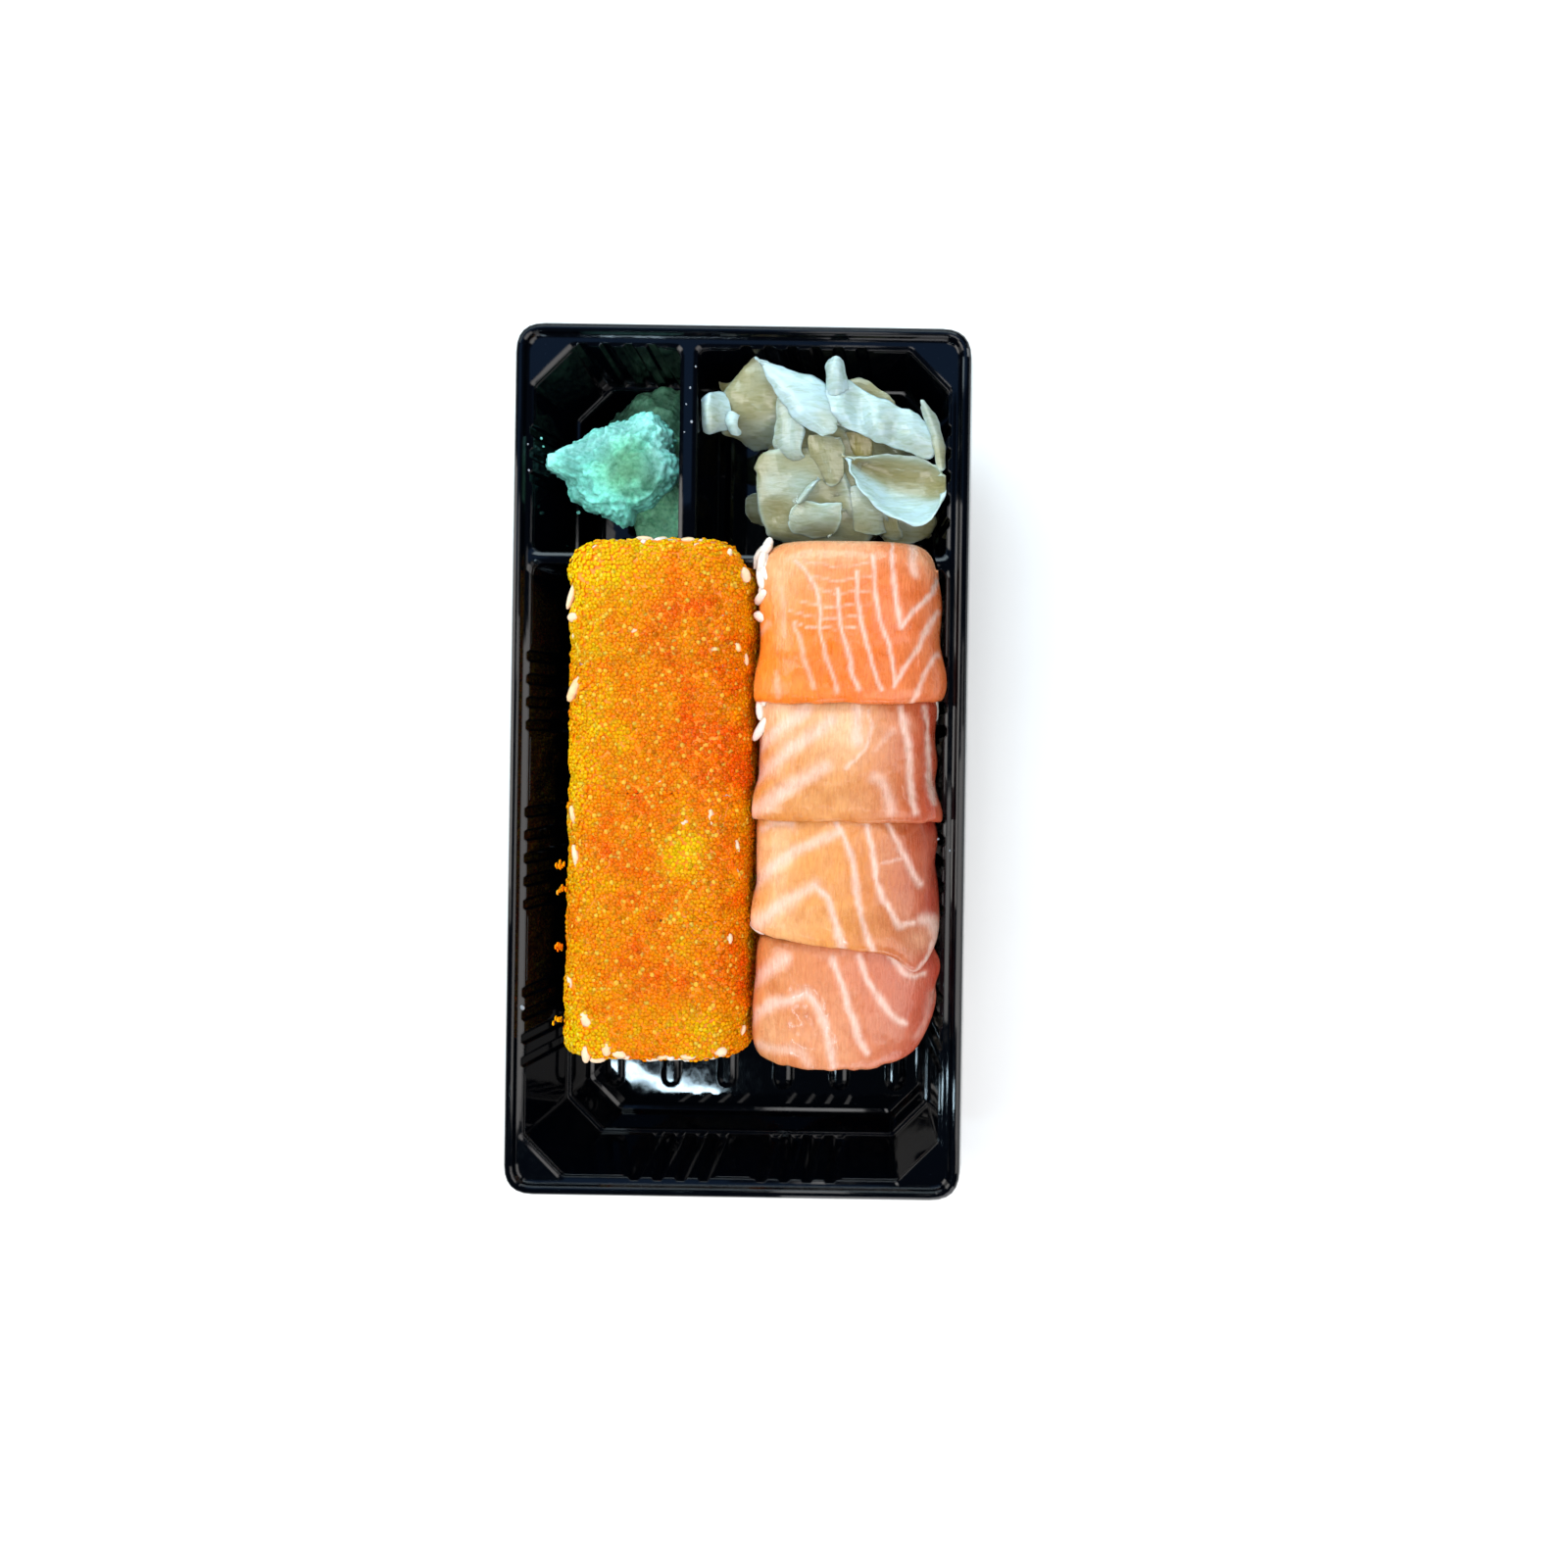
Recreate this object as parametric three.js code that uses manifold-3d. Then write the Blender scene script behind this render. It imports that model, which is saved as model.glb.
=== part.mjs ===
// A black takeaway sushi tray with its food: four roe-coated rolls, four salmon rolls, a lump of
// wasabi and a heap of pickled ginger. Millimetres, +Z up, +Y to the end that holds the wasabi and
// the ginger. The origin is on the table, under the middle of the tray.

import * as THREE from "three";
import { mergeVertices } from "three/addons/utils/BufferGeometryUtils.js";
import Module from "manifold-3d";

const wasm = await Module();
wasm.setup();

// ---------- driving dimensions ----------

const TRAY_LENGTH = 185;
const TRAY_WIDTH = 97;
const RIM = 31; // height of the flange's flat top above the table
const STEP = 11; // height of the ledge part-way down the walls
const WALL = 0.8; // thickness of the formed sheet
const FLOOR = WALL; // height of the compartments' floor
const GAP = 0.3; // left between any two pieces that touch

const FLANGE_CORNER = 6.5;
const FLANGE_BACK = 5;
const FLANGE_FRONT = 4;
const FLANGE_LEFT = 4;
const FLANGE_RIGHT = 5;
const CHAMFER = 8.5; // cut corners of the compartments, where they meet the tray's corners
const FILLET = 2.2; // rounded corners of the compartments, along the dividers
const CROSS_DIVIDER = { y: 42.6, width: 2.4 };
const LONG_DIVIDER = { x: -11.7, width: 3.6 };

const FLUTE_RADIUS = 2;
const FLUTE_DEPTH = 0.9;
const FLUTE_PITCH = 4.9;

const FLOOR_RIB = { width: 4.8, height: 0.8, pitch: 13.3, count: 6 };

const ROLL_TOP = 38.6;
const ROLL_BOTTOM = FLOOR + FLOOR_RIB.height + GAP;
const GRAIN = 0.35; // relief of the rice grains and the roe

const SLICE_THICKNESS = 2.4;

// ---------- materials ----------

function material(color, roughness) {
  return new THREE.MeshStandardMaterial({ color, roughness, metalness: 0 });
}

const blackPlastic = material(0x0a0b12, 0.18);
const roeAndRice = material(0xf28a12, 0.35);
const rice = material(0xf1e9e2, 0.5);
const salmon = material(0xf2a271, 0.3);
const wasabiPaste = material(0x76b99a, 0.7);
const gingerFlesh = material(0xd9d3b4, 0.35);

// ---------- solids from meshes ----------

function toSolid(geometry) {
  const bare = geometry.clone();
  bare.deleteAttribute("normal");
  bare.deleteAttribute("uv");
  const merged = mergeVertices(bare, 1e-5);
  return new wasm.Manifold(
    new wasm.Mesh({
      numProp: 3,
      vertProperties: Float32Array.from(merged.attributes.position.array),
      triVerts: Uint32Array.from(merged.index.array),
    }),
  );
}

function toGeometry(solid) {
  const { vertProperties, triVerts } = solid.getMesh();
  const geometry = new THREE.BufferGeometry();
  geometry.setAttribute("position", new THREE.BufferAttribute(Float32Array.from(vertProperties), 3));
  geometry.setIndex(new THREE.BufferAttribute(Uint32Array.from(triVerts), 1));
  geometry.computeVertexNormals();
  return geometry;
}

// A skin over rings of points: each ring has as many points as the next. With `around` the last
// ring joins the first; without it, flat caps close both ends.
function loft(rings, around = false) {
  const count = rings[0].length;
  const index = [];
  const last = around ? rings.length : rings.length - 1;
  for (let r = 0; r < last; r++) {
    const low = r * count;
    const high = ((r + 1) % rings.length) * count;
    for (let i = 0; i < count; i++) {
      const j = (i + 1) % count;
      index.push(low + i, low + j, high + j);
      index.push(low + i, high + j, high + i);
    }
  }
  const top = (rings.length - 1) * count;
  for (let i = 1; i < count - 1 && !around; i++) {
    index.push(0, i + 1, i);
    index.push(top, top + i, top + i + 1);
  }
  const geometry = new THREE.BufferGeometry();
  geometry.setAttribute("position", new THREE.Float32BufferAttribute(rings.flat(2), 3));
  geometry.setIndex(index);
  return toSolid(geometry);
}

// A box cut into cells whose corners, from -1 to 1 each way, are moved to where `place` says.
function mouldedBlock(cells, place) {
  const geometry = new THREE.BoxGeometry(2, 2, 2, ...cells);
  const position = geometry.attributes.position;
  for (let i = 0; i < position.count; i++) {
    const [x, y, z] = place(position.getX(i), position.getY(i), position.getZ(i));
    position.setXYZ(i, x, y, z);
  }
  return toSolid(geometry);
}

function smoothstep(from, to, value) {
  const t = Math.min(1, Math.max(0, (value - from) / (to - from)));
  return t * t * (3 - 2 * t);
}

// How far a quarter-round edge of this radius draws back at a distance from the end.
function roundingInset(distance, radius) {
  const left = Math.max(0, radius - distance);
  return radius - Math.sqrt(radius * radius - left * left);
}

// The piece without the scraps that a cut leaves beside it.
function largestBody(solid) {
  return solid.decompose().reduce((most, body) => (body.volume() > most.volume() ? body : most));
}

// Lumps a few millimetres wide, the same for the same place and seed.
function lumps(x, y, z, seed) {
  const wide = Math.sin(x * 0.9 + seed) * Math.sin(y * 0.8 + seed * 2.3 + z * 0.4);
  const fine = Math.sin(x * 2.1 + z * 1.7 + seed * 1.7) * Math.sin(y * 2.3 - z * 1.1 + seed);
  return 0.55 * wide + 0.45 * fine;
}

// ---------- the tray ----------

// A convex outline with its corners rounded off by a few steps each.
function roundedOutline(corners, radii, steps) {
  const outline = [];
  corners.forEach((corner, i) => {
    const before = corners[(i + corners.length - 1) % corners.length];
    const after = corners[(i + 1) % corners.length];
    const toBefore = new THREE.Vector2(before[0] - corner[0], before[1] - corner[1]).normalize();
    const toAfter = new THREE.Vector2(after[0] - corner[0], after[1] - corner[1]).normalize();
    const halfAngle = toBefore.angleTo(toAfter) / 2;
    const reach = radii[i] / Math.tan(halfAngle);
    for (let k = 0; k <= steps[i]; k++) {
      const t = k / steps[i];
      const pull = [(1 - t) ** 2 * reach, t ** 2 * reach];
      outline.push([
        corner[0] + toBefore.x * pull[0] + toAfter.x * pull[1],
        corner[1] + toBefore.y * pull[0] + toAfter.y * pull[1],
      ]);
    }
  });
  return outline;
}

const EDGE = {
  left: -TRAY_WIDTH / 2 + FLANGE_LEFT,
  right: TRAY_WIDTH / 2 - FLANGE_RIGHT,
  front: -TRAY_LENGTH / 2 + FLANGE_FRONT,
  back: TRAY_LENGTH / 2 - FLANGE_BACK,
};

// Each compartment's mouth. The walls on the tray's outside slope; those of the dividers are steep.
const COMPARTMENTS = {
  rolls: {
    left: EDGE.left,
    right: EDGE.right,
    front: EDGE.front,
    back: CROSS_DIVIDER.y - CROSS_DIVIDER.width / 2,
    dividers: ["back"],
    chamfers: ["frontLeft", "frontRight"],
  },
  wasabi: {
    left: EDGE.left,
    right: LONG_DIVIDER.x - LONG_DIVIDER.width / 2,
    front: CROSS_DIVIDER.y + CROSS_DIVIDER.width / 2,
    back: EDGE.back,
    dividers: ["right", "front"],
    chamfers: ["backLeft"],
  },
  ginger: {
    left: LONG_DIVIDER.x + LONG_DIVIDER.width / 2,
    right: EDGE.right,
    front: CROSS_DIVIDER.y + CROSS_DIVIDER.width / 2,
    back: EDGE.back,
    dividers: ["left", "front"],
    chamfers: ["backRight"],
  },
};

// Wall profile from the mouth down: height, how far an outer wall has come in, and a divider's.
const MOUTH_ROUNDING = 0.8;
// The levels marked `shell` shape the outside of the sheet too.
const WALL_PROFILE = [
  { z: RIM + 3, outer: -MOUTH_ROUNDING, divider: -MOUTH_ROUNDING },
  { z: RIM, outer: -MOUTH_ROUNDING, divider: -MOUTH_ROUNDING },
  { z: RIM - 0.25, outer: -0.25, divider: -0.25 },
  { z: RIM - MOUTH_ROUNDING + 0.5, outer: 0, divider: 0, shell: true },
  { z: STEP, outer: 2.8, divider: 0.5, shell: true },
  { z: STEP - 0.1, outer: 3.5, divider: 0.9, shell: true },
  { z: STEP - 0.7, outer: 3.8, divider: 1 },
  { z: FLOOR + 1.2, outer: 4.6, divider: 1.2, shell: true },
  { z: FLOOR + 0.3, outer: 5, divider: 1.5 },
  { z: FLOOR, outer: 5.8, divider: 2.3, shell: true },
];

function compartmentRing(compartment, level, grow) {
  const inset = (side) => (compartment.dividers.includes(side) ? level.divider : level.outer) - grow;
  const left = compartment.left + inset("left");
  const right = compartment.right - inset("right");
  const front = compartment.front + inset("front");
  const back = compartment.back - inset("back");
  const cut = CHAMFER - 0.3 * level.outer - 0.6 * grow;
  const corners = [];
  const radii = [];
  const steps = [];
  const corner = (name, x, y, towardX, towardY) => {
    if (compartment.chamfers.includes(name)) {
      const ends = [
        [x + towardX * cut, y],
        [x, y + towardY * cut],
      ];
      const firstIsX = towardX * towardY > 0 ? 1 : 0;
      corners.push(ends[firstIsX], ends[1 - firstIsX]);
      radii.push(1.5, 1.5);
      steps.push(2, 2);
    } else {
      corners.push([x, y]);
      radii.push(FILLET);
      steps.push(3);
    }
  };
  corner("frontLeft", left, front, 1, 1);
  corner("frontRight", right, front, -1, 1);
  corner("backRight", right, back, -1, -1);
  corner("backLeft", left, back, 1, -1);
  return roundedOutline(corners, radii, steps).map(([px, py]) => [px, py, level.z]);
}

// The space inside a compartment, or that space drawn in by a gap.
function compartmentSpace(compartment, gap = 0) {
  const rings = WALL_PROFILE.map((level) => {
    const raised = { ...level, z: level.z + gap };
    return compartmentRing(compartment, raised, -gap);
  });
  return loft(rings.reverse());
}

// The outside of a compartment's shell: the same profile grown by the wall, without its small curves.
function compartmentShell(compartment) {
  const levels = WALL_PROFILE.filter((level) => level.shell);
  const rings = levels.map((level) => {
    const sunk = { ...level, z: level.z - WALL };
    return compartmentRing(compartment, sunk, WALL);
  });
  return loft(rings.reverse());
}

// Where the flutes run: [side, middle of the group along the wall, how many].
const FLUTE_GROUPS = [
  ["left", 64.5, 3],
  ["left", 14.4, 4],
  ["left", -21.2, 5],
  ["left", -57, 4],
  ["right", 61, 5],
  ["right", 14.4, 4],
  ["right", -21.2, 5],
  ["right", -57, 4],
  ["front", -13.4, 4],
  ["front", 13.4, 4],
  ["back", -27, 4],
  ["back", 12.6, 6],
];

// One half-round flute down an outer wall, from above the rim to the ledge.
function flute(side, along, grow) {
  const sideways = side === "left" || side === "right";
  const inward = side === "left" || side === "front" ? 1 : -1;
  const turns = 8;
  const ring = (z, inset) => {
    const across = EDGE[side] + inward * (inset + FLUTE_RADIUS - FLUTE_DEPTH);
    return Array.from({ length: turns }, (_, k) => {
      const angle = ((k + 0.5) / turns) * 2 * Math.PI;
      const u = (FLUTE_RADIUS + grow) * Math.cos(angle);
      const v = (FLUTE_RADIUS + grow) * Math.sin(angle);
      return sideways ? [across + u, along + v, z] : [along + u, across + v, z];
    });
  };
  const foot = WALL_PROFILE.find((level) => level.z === STEP).outer;
  const top = grow > 0 ? RIM - WALL / 2 : RIM + 1;
  return loft([ring(STEP - grow, foot), ring(top, 0)]);
}

function flutes(grow) {
  const all = [];
  for (const [side, middle, count] of FLUTE_GROUPS) {
    for (let k = 0; k < count; k++) {
      all.push(flute(side, middle + (k - (count - 1) / 2) * FLUTE_PITCH, grow));
    }
  }
  return wasm.Manifold.union(all);
}

// A low round-ended rib along the floor of the rolls' compartment.
function floorRib(x, drop) {
  const ends = [-76, 33];
  const ring = (z, halfWidth) => {
    const outline = [];
    for (let k = 0; k <= 5; k++) {
      const angle = (k / 5) * Math.PI;
      outline.push([x + halfWidth * Math.cos(angle), ends[1] + halfWidth * Math.sin(angle), z]);
    }
    for (let k = 0; k <= 5; k++) {
      const angle = Math.PI + (k / 5) * Math.PI;
      outline.push([x + halfWidth * Math.cos(angle), ends[0] + halfWidth * Math.sin(angle), z]);
    }
    return outline;
  };
  const { width, height } = FLOOR_RIB;
  const base = FLOOR - drop;
  return loft([
    ring(base - 0.2, width / 2),
    ring(base, width / 2),
    ring(base + 0.7 * height, width * 0.36),
    ring(base + height, width * 0.18),
  ]);
}

function floorRibs(drop) {
  const { pitch, count } = FLOOR_RIB;
  const middle = (EDGE.left + EDGE.right) / 2;
  const all = Array.from({ length: count }, (_, k) => floorRib(middle + (k - (count - 1) / 2) * pitch, drop));
  return wasm.Manifold.union(all);
}

function flangeOutline(inset, z) {
  const x = TRAY_WIDTH / 2 - inset;
  const y = TRAY_LENGTH / 2 - inset;
  const corners = [
    [-x, -y],
    [x, -y],
    [x, y],
    [-x, y],
  ];
  const radius = Math.max(FLANGE_CORNER - inset, 1);
  return roundedOutline(corners, Array(4).fill(radius), Array(4).fill(6)).map(([px, py]) => [px, py, z]);
}

// The raised bead round the flange and the skirt that hangs from it, as one closed strip.
const BEAD_HEIGHT = 1.3;
const BEAD_WIDTH = 3;
const SKIRT = 3.6;

function beadAndSkirt() {
  const top = RIM + BEAD_HEIGHT;
  const profile = [
    [0, RIM - SKIRT],
    [0.35, RIM + 0.5],
    [0.75, top - 0.2],
    [1.2, top],
    [1.8, top],
    [2.25, top - 0.2],
    [BEAD_WIDTH - 0.3, RIM + 0.25],
    [BEAD_WIDTH + 0.2, RIM],
    [BEAD_WIDTH + 0.2, RIM - WALL],
    [BEAD_WIDTH - 0.8, RIM - 0.4],
    [1.9, top - WALL],
    [1.3, top - WALL],
    [1.1, RIM + 0.1],
    [WALL, RIM - SKIRT],
  ];
  return loft(profile.map(([inset, z]) => flangeOutline(inset, z)), true);
}

function makeTray() {
  const plate = loft([flangeOutline(BEAD_WIDTH, RIM - WALL), flangeOutline(BEAD_WIDTH, RIM)]);
  const shells = Object.values(COMPARTMENTS).map(compartmentShell);
  const spaces = Object.values(COMPARTMENTS).map((c) => compartmentSpace(c));
  return wasm.Manifold.union([plate, beadAndSkirt(), ...shells, flutes(WALL)])
    .subtract(wasm.Manifold.union(spaces))
    .subtract(flutes(0))
    .add(floorRibs(0))
    .subtract(floorRibs(FLOOR));
}

// The room left for food: a compartment drawn in by the gap, and the open space above the rim.
function roomFor(compartment) {
  const inside = compartmentSpace(compartment, GAP);
  const above = toSolid(new THREE.BoxGeometry(TRAY_WIDTH, TRAY_LENGTH, 30));
  return inside.add(above.translate([0, 0, RIM + GAP + 15]));
}

// ---------- the rolls ----------

// The two columns, as they lie side by side against the right-hand wall. `squareness` is the
// exponent of their rounded-square section, and `cutRounding` softens the knife cuts' edges.
const ROE_COLUMN = {
  x: -16.75,
  halfWidth: 19.75,
  squareness: 4.2,
  cutRounding: 0.6,
  cuts: [46.3, 19.5, -6.7, -32.9, -62.4],
};
const SALMON_COLUMN = {
  x: 23,
  halfWidth: 17.2,
  squareness: 3.4,
  cutRounding: 1.1,
  cuts: [45.2, 14.8, -9.6, -36.2, -61.8],
};

const LEAN_FROM = 14; // height at which the first pieces start to lean over the cross divider

// One cut length of roll: a rounded-square block of rice with knife-cut ends. The first one's
// upper edge bulges over the cross divider; the column's outer ends are well rounded.
function rollPiece(column, number, cells, top) {
  const isFirst = number === 0;
  const isLast = number === column.cuts.length - 2;
  const dividerFace = COMPARTMENTS.rolls.back - GAP * 2;
  const back = isFirst ? dividerFace : column.cuts[number] - GAP / 2;
  const front = column.cuts[number + 1] + GAP / 2;
  const lip = isFirst ? column.cuts[0] - back : 0;
  const middle = (back + front) / 2;
  const halfLength = (back - front) / 2;
  const halfHeight = (top - ROLL_BOTTOM) / 2;
  const backRounding = isFirst ? 5.5 : column.cutRounding;
  const frontRounding = isLast ? 2.6 : column.cutRounding;
  const seed = column.x + 3.1 * number;
  const place = (a, b, c) => {
    const reach = Math.max(Math.abs(a), Math.abs(c), 1e-9);
    const power = column.squareness;
    const spread = Math.abs(a / reach) ** power + Math.abs(c / reach) ** power;
    const round = spread ** (-1 / power);
    const along = Math.sin((b * Math.PI) / 2);
    const fromBack = (1 - along) * halfLength;
    const fromFront = (1 + along) * halfLength;
    const inset = roundingInset(fromBack, backRounding) + roundingInset(fromFront, frontRounding);
    const lump = GRAIN * lumps(a * 16, along * halfLength + middle, c * 16, seed);
    const x = column.x + a * round * (column.halfWidth - inset + lump);
    const z = ROLL_BOTTOM + halfHeight + c * round * (halfHeight - inset * 0.7 + lump);
    const overhang = lip * smoothstep(LEAN_FROM, RIM + 3, z) * ((1 + along) / 2) ** 2;
    return [x, middle + along * halfLength + overhang, Math.max(z, ROLL_BOTTOM)];
  };
  const block = mouldedBlock(cells, place);
  return largestBody(block.intersect(roomFor(COMPARTMENTS.rolls)));
}

// ---------- the salmon slices ----------

// Each slice is draped over its rice and laps over the next one's back edge. `edge` is the line of
// its front edge: where it crosses the middle, its slant and its bow, and how far its right-hand
// corner is cut back; `left` and `right` are the angles from upright at which its ends stop.
const SLICES = [
  { edge: [12.4, 0.2, 0.5, 0.8], left: 62, right: 66, thickness: 2.6, flare: 0 },
  { edge: [-11.9, -0.2, -0.3, 0], left: 64, right: 68, thickness: 2.1, flare: -0.6 },
  { edge: [-37.8, -2.4, 1.4, 3.5], left: 66, right: 66, thickness: 2.3, flare: -0.2 },
  { edge: [-63.2, 0.4, 1.6, 9], left: 66, right: 58, thickness: 2.4, flare: 1.6 },
];
const SLICE_LIFT = 2.4;
const SLICE_LEFT_LIMIT = ROE_COLUMN.x + ROE_COLUMN.halfWidth + GRAIN + GAP; // pressed against the roe

function salmonSlice(number, riceTop) {
  const { edge, left, right, thickness, flare } = SLICES[number];
  const column = SALMON_COLUMN;
  const isFirst = number === 0;
  const isLast = number === SLICES.length - 1;
  const halfHeight = (riceTop - ROLL_BOTTOM) / 2;
  const back = column.cuts[number] - (isFirst ? -1.3 : GAP);
  const place = (a, b, c) => {
    const angle = THREE.MathUtils.degToRad(a < 0 ? a * left : a * right);
    const across = Math.sin(angle);
    const up = Math.cos(angle);
    const power = column.squareness;
    const spread = Math.abs(across) ** power + Math.abs(up) ** power;
    const round = spread ** (-1 / power);
    const front = edge[0] + edge[1] * a + edge[2] * a * a + edge[3] * Math.max(0, a) ** 6;
    const endRound = isFirst ? roundingInset((1 - b) * 13, 5) : 0;
    const y = front + ((b + 1) / 2) * (back - front);
    const thin = 1 - 0.55 * Math.abs(b) ** 6 - 0.35 * Math.abs(a) ** 6;
    const lift = isLast ? 0 : SLICE_LIFT * smoothstep(0.25, 1, -b);
    const wave = 0.3 * Math.sin(a * 5 + number * 2) * Math.sin(b * 3 + number);
    const skin = GAP + GRAIN * 1.6 + lift + wave + 0.3 + ((c + 1) / 2) * thickness * thin;
    const bulge = flare * smoothstep(0.55, 1, a) * (1 - b * b);
    const width = column.halfWidth + skin * 0.9 - endRound * 0.9 + bulge;
    const height = halfHeight + skin - endRound * 0.55;
    const x = Math.max(column.x + across * round * width, SLICE_LEFT_LIMIT);
    return [x, y, ROLL_BOTTOM + halfHeight + up * round * height];
  };
  return largestBody(mouldedBlock([12, 6, 1], place).intersect(roomFor(COMPARTMENTS.rolls)));
}

// ---------- wasabi ----------

// A lump squeezed out and pressed down: a crumbly disc on a skirt that leans on the long divider.
const WASABI = {
  cap: { x: -26, y: 63.2, reachX: 11.6, reachY: 12, bottom: 13, top: 27.6, tip: 0.55 },
  skirt: { x: -22.5, y: 67, reachX: 10, reachY: 19, bottom: FLOOR + GAP, top: 18, tip: 0 },
};

function wasabiLump({ x, y, reachX, reachY, bottom, top, tip }, cells) {
  return mouldedBlock(cells, (a, b, c) => {
    const direction = new THREE.Vector3(a, b, c).normalize();
    const flat = Math.hypot(direction.x, direction.y, direction.z * 0.9) ** -1;
    const bearing = Math.atan2(direction.y, direction.x);
    const drawnOut = tip * Math.max(0, Math.cos(bearing - Math.PI)) ** 8;
    const crumb = 1 + 0.06 * Math.sin(bearing * 7 + 1) * Math.sin(c * 4 + bearing * 3) + drawnOut;
    const middle = (bottom + top) / 2;
    const rise = Math.sign(direction.z) * Math.abs(direction.z) ** 0.7;
    return [
      x + direction.x * flat * reachX * crumb,
      y + direction.y * flat * reachY * crumb,
      middle + rise * (top - middle) + 0.5 * lumps(direction.x * 20, direction.y * 20, c * 8, 2),
    ];
  });
}

function makeWasabi() {
  const cap = wasabiLump(WASABI.cap, [8, 8, 4]);
  const skirt = wasabiLump(WASABI.skirt, [4, 6, 4]);
  return largestBody(cap.add(skirt).intersect(roomFor(COMPARTMENTS.wasabi)));
}

// ---------- pickled ginger ----------

// Thin slices heaped on a core. Each has its middle, its length and width, how it is turned (yaw,
// then pitch and roll, in degrees), how far it cups across and arches along, and its point.
const GINGER_THICKNESS = 1;
const GINGER_SLICES = [
  { at: [1, 76, 23.5], size: [21, 15], turn: [50, 8, -12], cup: 1.5, arch: 1.5, point: 2 },
  { at: [-5.3, 73, 26.5], size: [9, 9], turn: [5, -8, 16], cup: -2.5, arch: 0.5, point: 3 },
  { at: [11.5, 77.6, 28], size: [25, 11.5], turn: [-42, 2, 12], cup: -1.8, arch: 1.5, point: 1.5 },
  { at: [10.3, 69.8, 26], size: [17, 8], turn: [-78, -8, -16], cup: 1.2, arch: 1, point: 1.6 },
  { at: [20.4, 79.6, 29.5], size: [10, 5], turn: [92, -22, 30], cup: -1.6, arch: 0.6, point: 2.6 },
  { at: [29, 74, 27], size: [31, 11], turn: [-30, 1, 14], cup: -2.6, arch: 2.2, point: 2.6 },
  { at: [40, 69, 27.5], size: [16, 6], turn: [-72, 10, 40], cup: -0.8, arch: 0.6, point: 1.5 },
  { at: [32.5, 58.6, 25], size: [26, 15], turn: [-22, 4, -20], cup: -4.5, arch: 1.5, point: 1.8 },
  { at: [27, 79.5, 23.5], size: [17, 11], turn: [-35, 4, -10], cup: 1, arch: 1, point: 2 },
  { at: [11, 58.5, 22.5], size: [21, 18], turn: [80, 4, 10], cup: 1.8, arch: 2, point: 2.6 },
  { at: [14.5, 54, 22.5], size: [15, 11], turn: [20, 2, -14], cup: 1.4, arch: 1, point: 2 },
  { at: [27, 53.5, 20.5], size: [14, 12], turn: [100, -6, 12], cup: 1.6, arch: 1.4, point: 2 },
  { at: [4, 54.5, 12], size: [15, 9], turn: [150, 8, 16], cup: 0.8, arch: 0.8, point: 2 },
  { at: [32, 53.5, 13], size: [15, 9], turn: [170, -6, -8], cup: 0.8, arch: 1, point: 2 },
];
const GINGER_CORE = { x: 19, y: 65.5, reachX: 18, reachY: 17, bottom: FLOOR + GAP, top: 26.5 };

function gingerSlice({ at, size, turn, cup, arch, point }) {
  const pose = new THREE.Matrix4().makeRotationFromEuler(
    new THREE.Euler(...[turn[2], turn[1], turn[0]].map(THREE.MathUtils.degToRad), "ZYX"),
  );
  pose.setPosition(...at);
  return mouldedBlock([4, 3, 1], (a, b, c) => {
    const outline = Math.max(0.12, (1 - Math.abs(a) ** point) ** 0.7);
    const wave = 0.5 * Math.sin(a * 4 + b * 2 + at[0]);
    const fold = cup * b * b + arch * (1 - a * a) + wave;
    const corner = new THREE.Vector3(
      (a * size[0]) / 2,
      (b * outline * size[1]) / 2,
      fold + (c * GINGER_THICKNESS * (1 - 0.4 * Math.abs(b) ** 3)) / 2,
    );
    return corner.applyMatrix4(pose).toArray();
  });
}

function makeGinger() {
  const { x, y, reachX, reachY, bottom, top } = GINGER_CORE;
  const core = mouldedBlock([4, 4, 2], (a, b, c) => {
    const direction = new THREE.Vector3(a, b, c).normalize();
    const lump = 1 + 0.06 * Math.sin(direction.x * 7 + direction.y * 5);
    const middle = (bottom + top) / 2;
    return [
      x + direction.x * reachX * lump,
      y + direction.y * reachY * lump,
      middle + Math.sign(c) * Math.abs(direction.z) ** 0.5 * (top - middle),
    ];
  });
  const heap = wasm.Manifold.union([core, ...GINGER_SLICES.map(gingerSlice)]);
  return largestBody(heap.intersect(roomFor(COMPARTMENTS.ginger)));
}

// ---------- the assembly ----------

const group = new THREE.Group();

// Adds a piece, drawn about its own foot and set down where it belongs.
function put(name, solid, finish, x, y, z) {
  const geometry = toGeometry(solid);
  geometry.translate(-x, -y, -z);
  const mesh = new THREE.Mesh(geometry, finish);
  mesh.name = name;
  mesh.position.set(x, y, z);
  group.add(mesh);
}

put("tray", makeTray(), blackPlastic, 0, 0, 0);

for (let number = 0; number < 4; number++) {
  const middle = (ROE_COLUMN.cuts[number] + ROE_COLUMN.cuts[number + 1]) / 2;
  const piece = rollPiece(ROE_COLUMN, number, [7, 6, 6], ROLL_TOP);
  put(`roe_roll_${number + 1}`, piece, roeAndRice, ROE_COLUMN.x, middle, ROLL_BOTTOM);
}

const riceTop = ROLL_TOP - SLICE_THICKNESS - 1;
for (let number = 0; number < 4; number++) {
  const middle = (SALMON_COLUMN.cuts[number] + SALMON_COLUMN.cuts[number + 1]) / 2;
  const piece = rollPiece(SALMON_COLUMN, number, [6, 4, 5], riceTop);
  put(`salmon_roll_rice_${number + 1}`, piece, rice, SALMON_COLUMN.x, middle, ROLL_BOTTOM);
  const slice = salmonSlice(number, riceTop);
  put(`salmon_slice_${number + 1}`, slice, salmon, SALMON_COLUMN.x, middle, riceTop);
}

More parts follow.
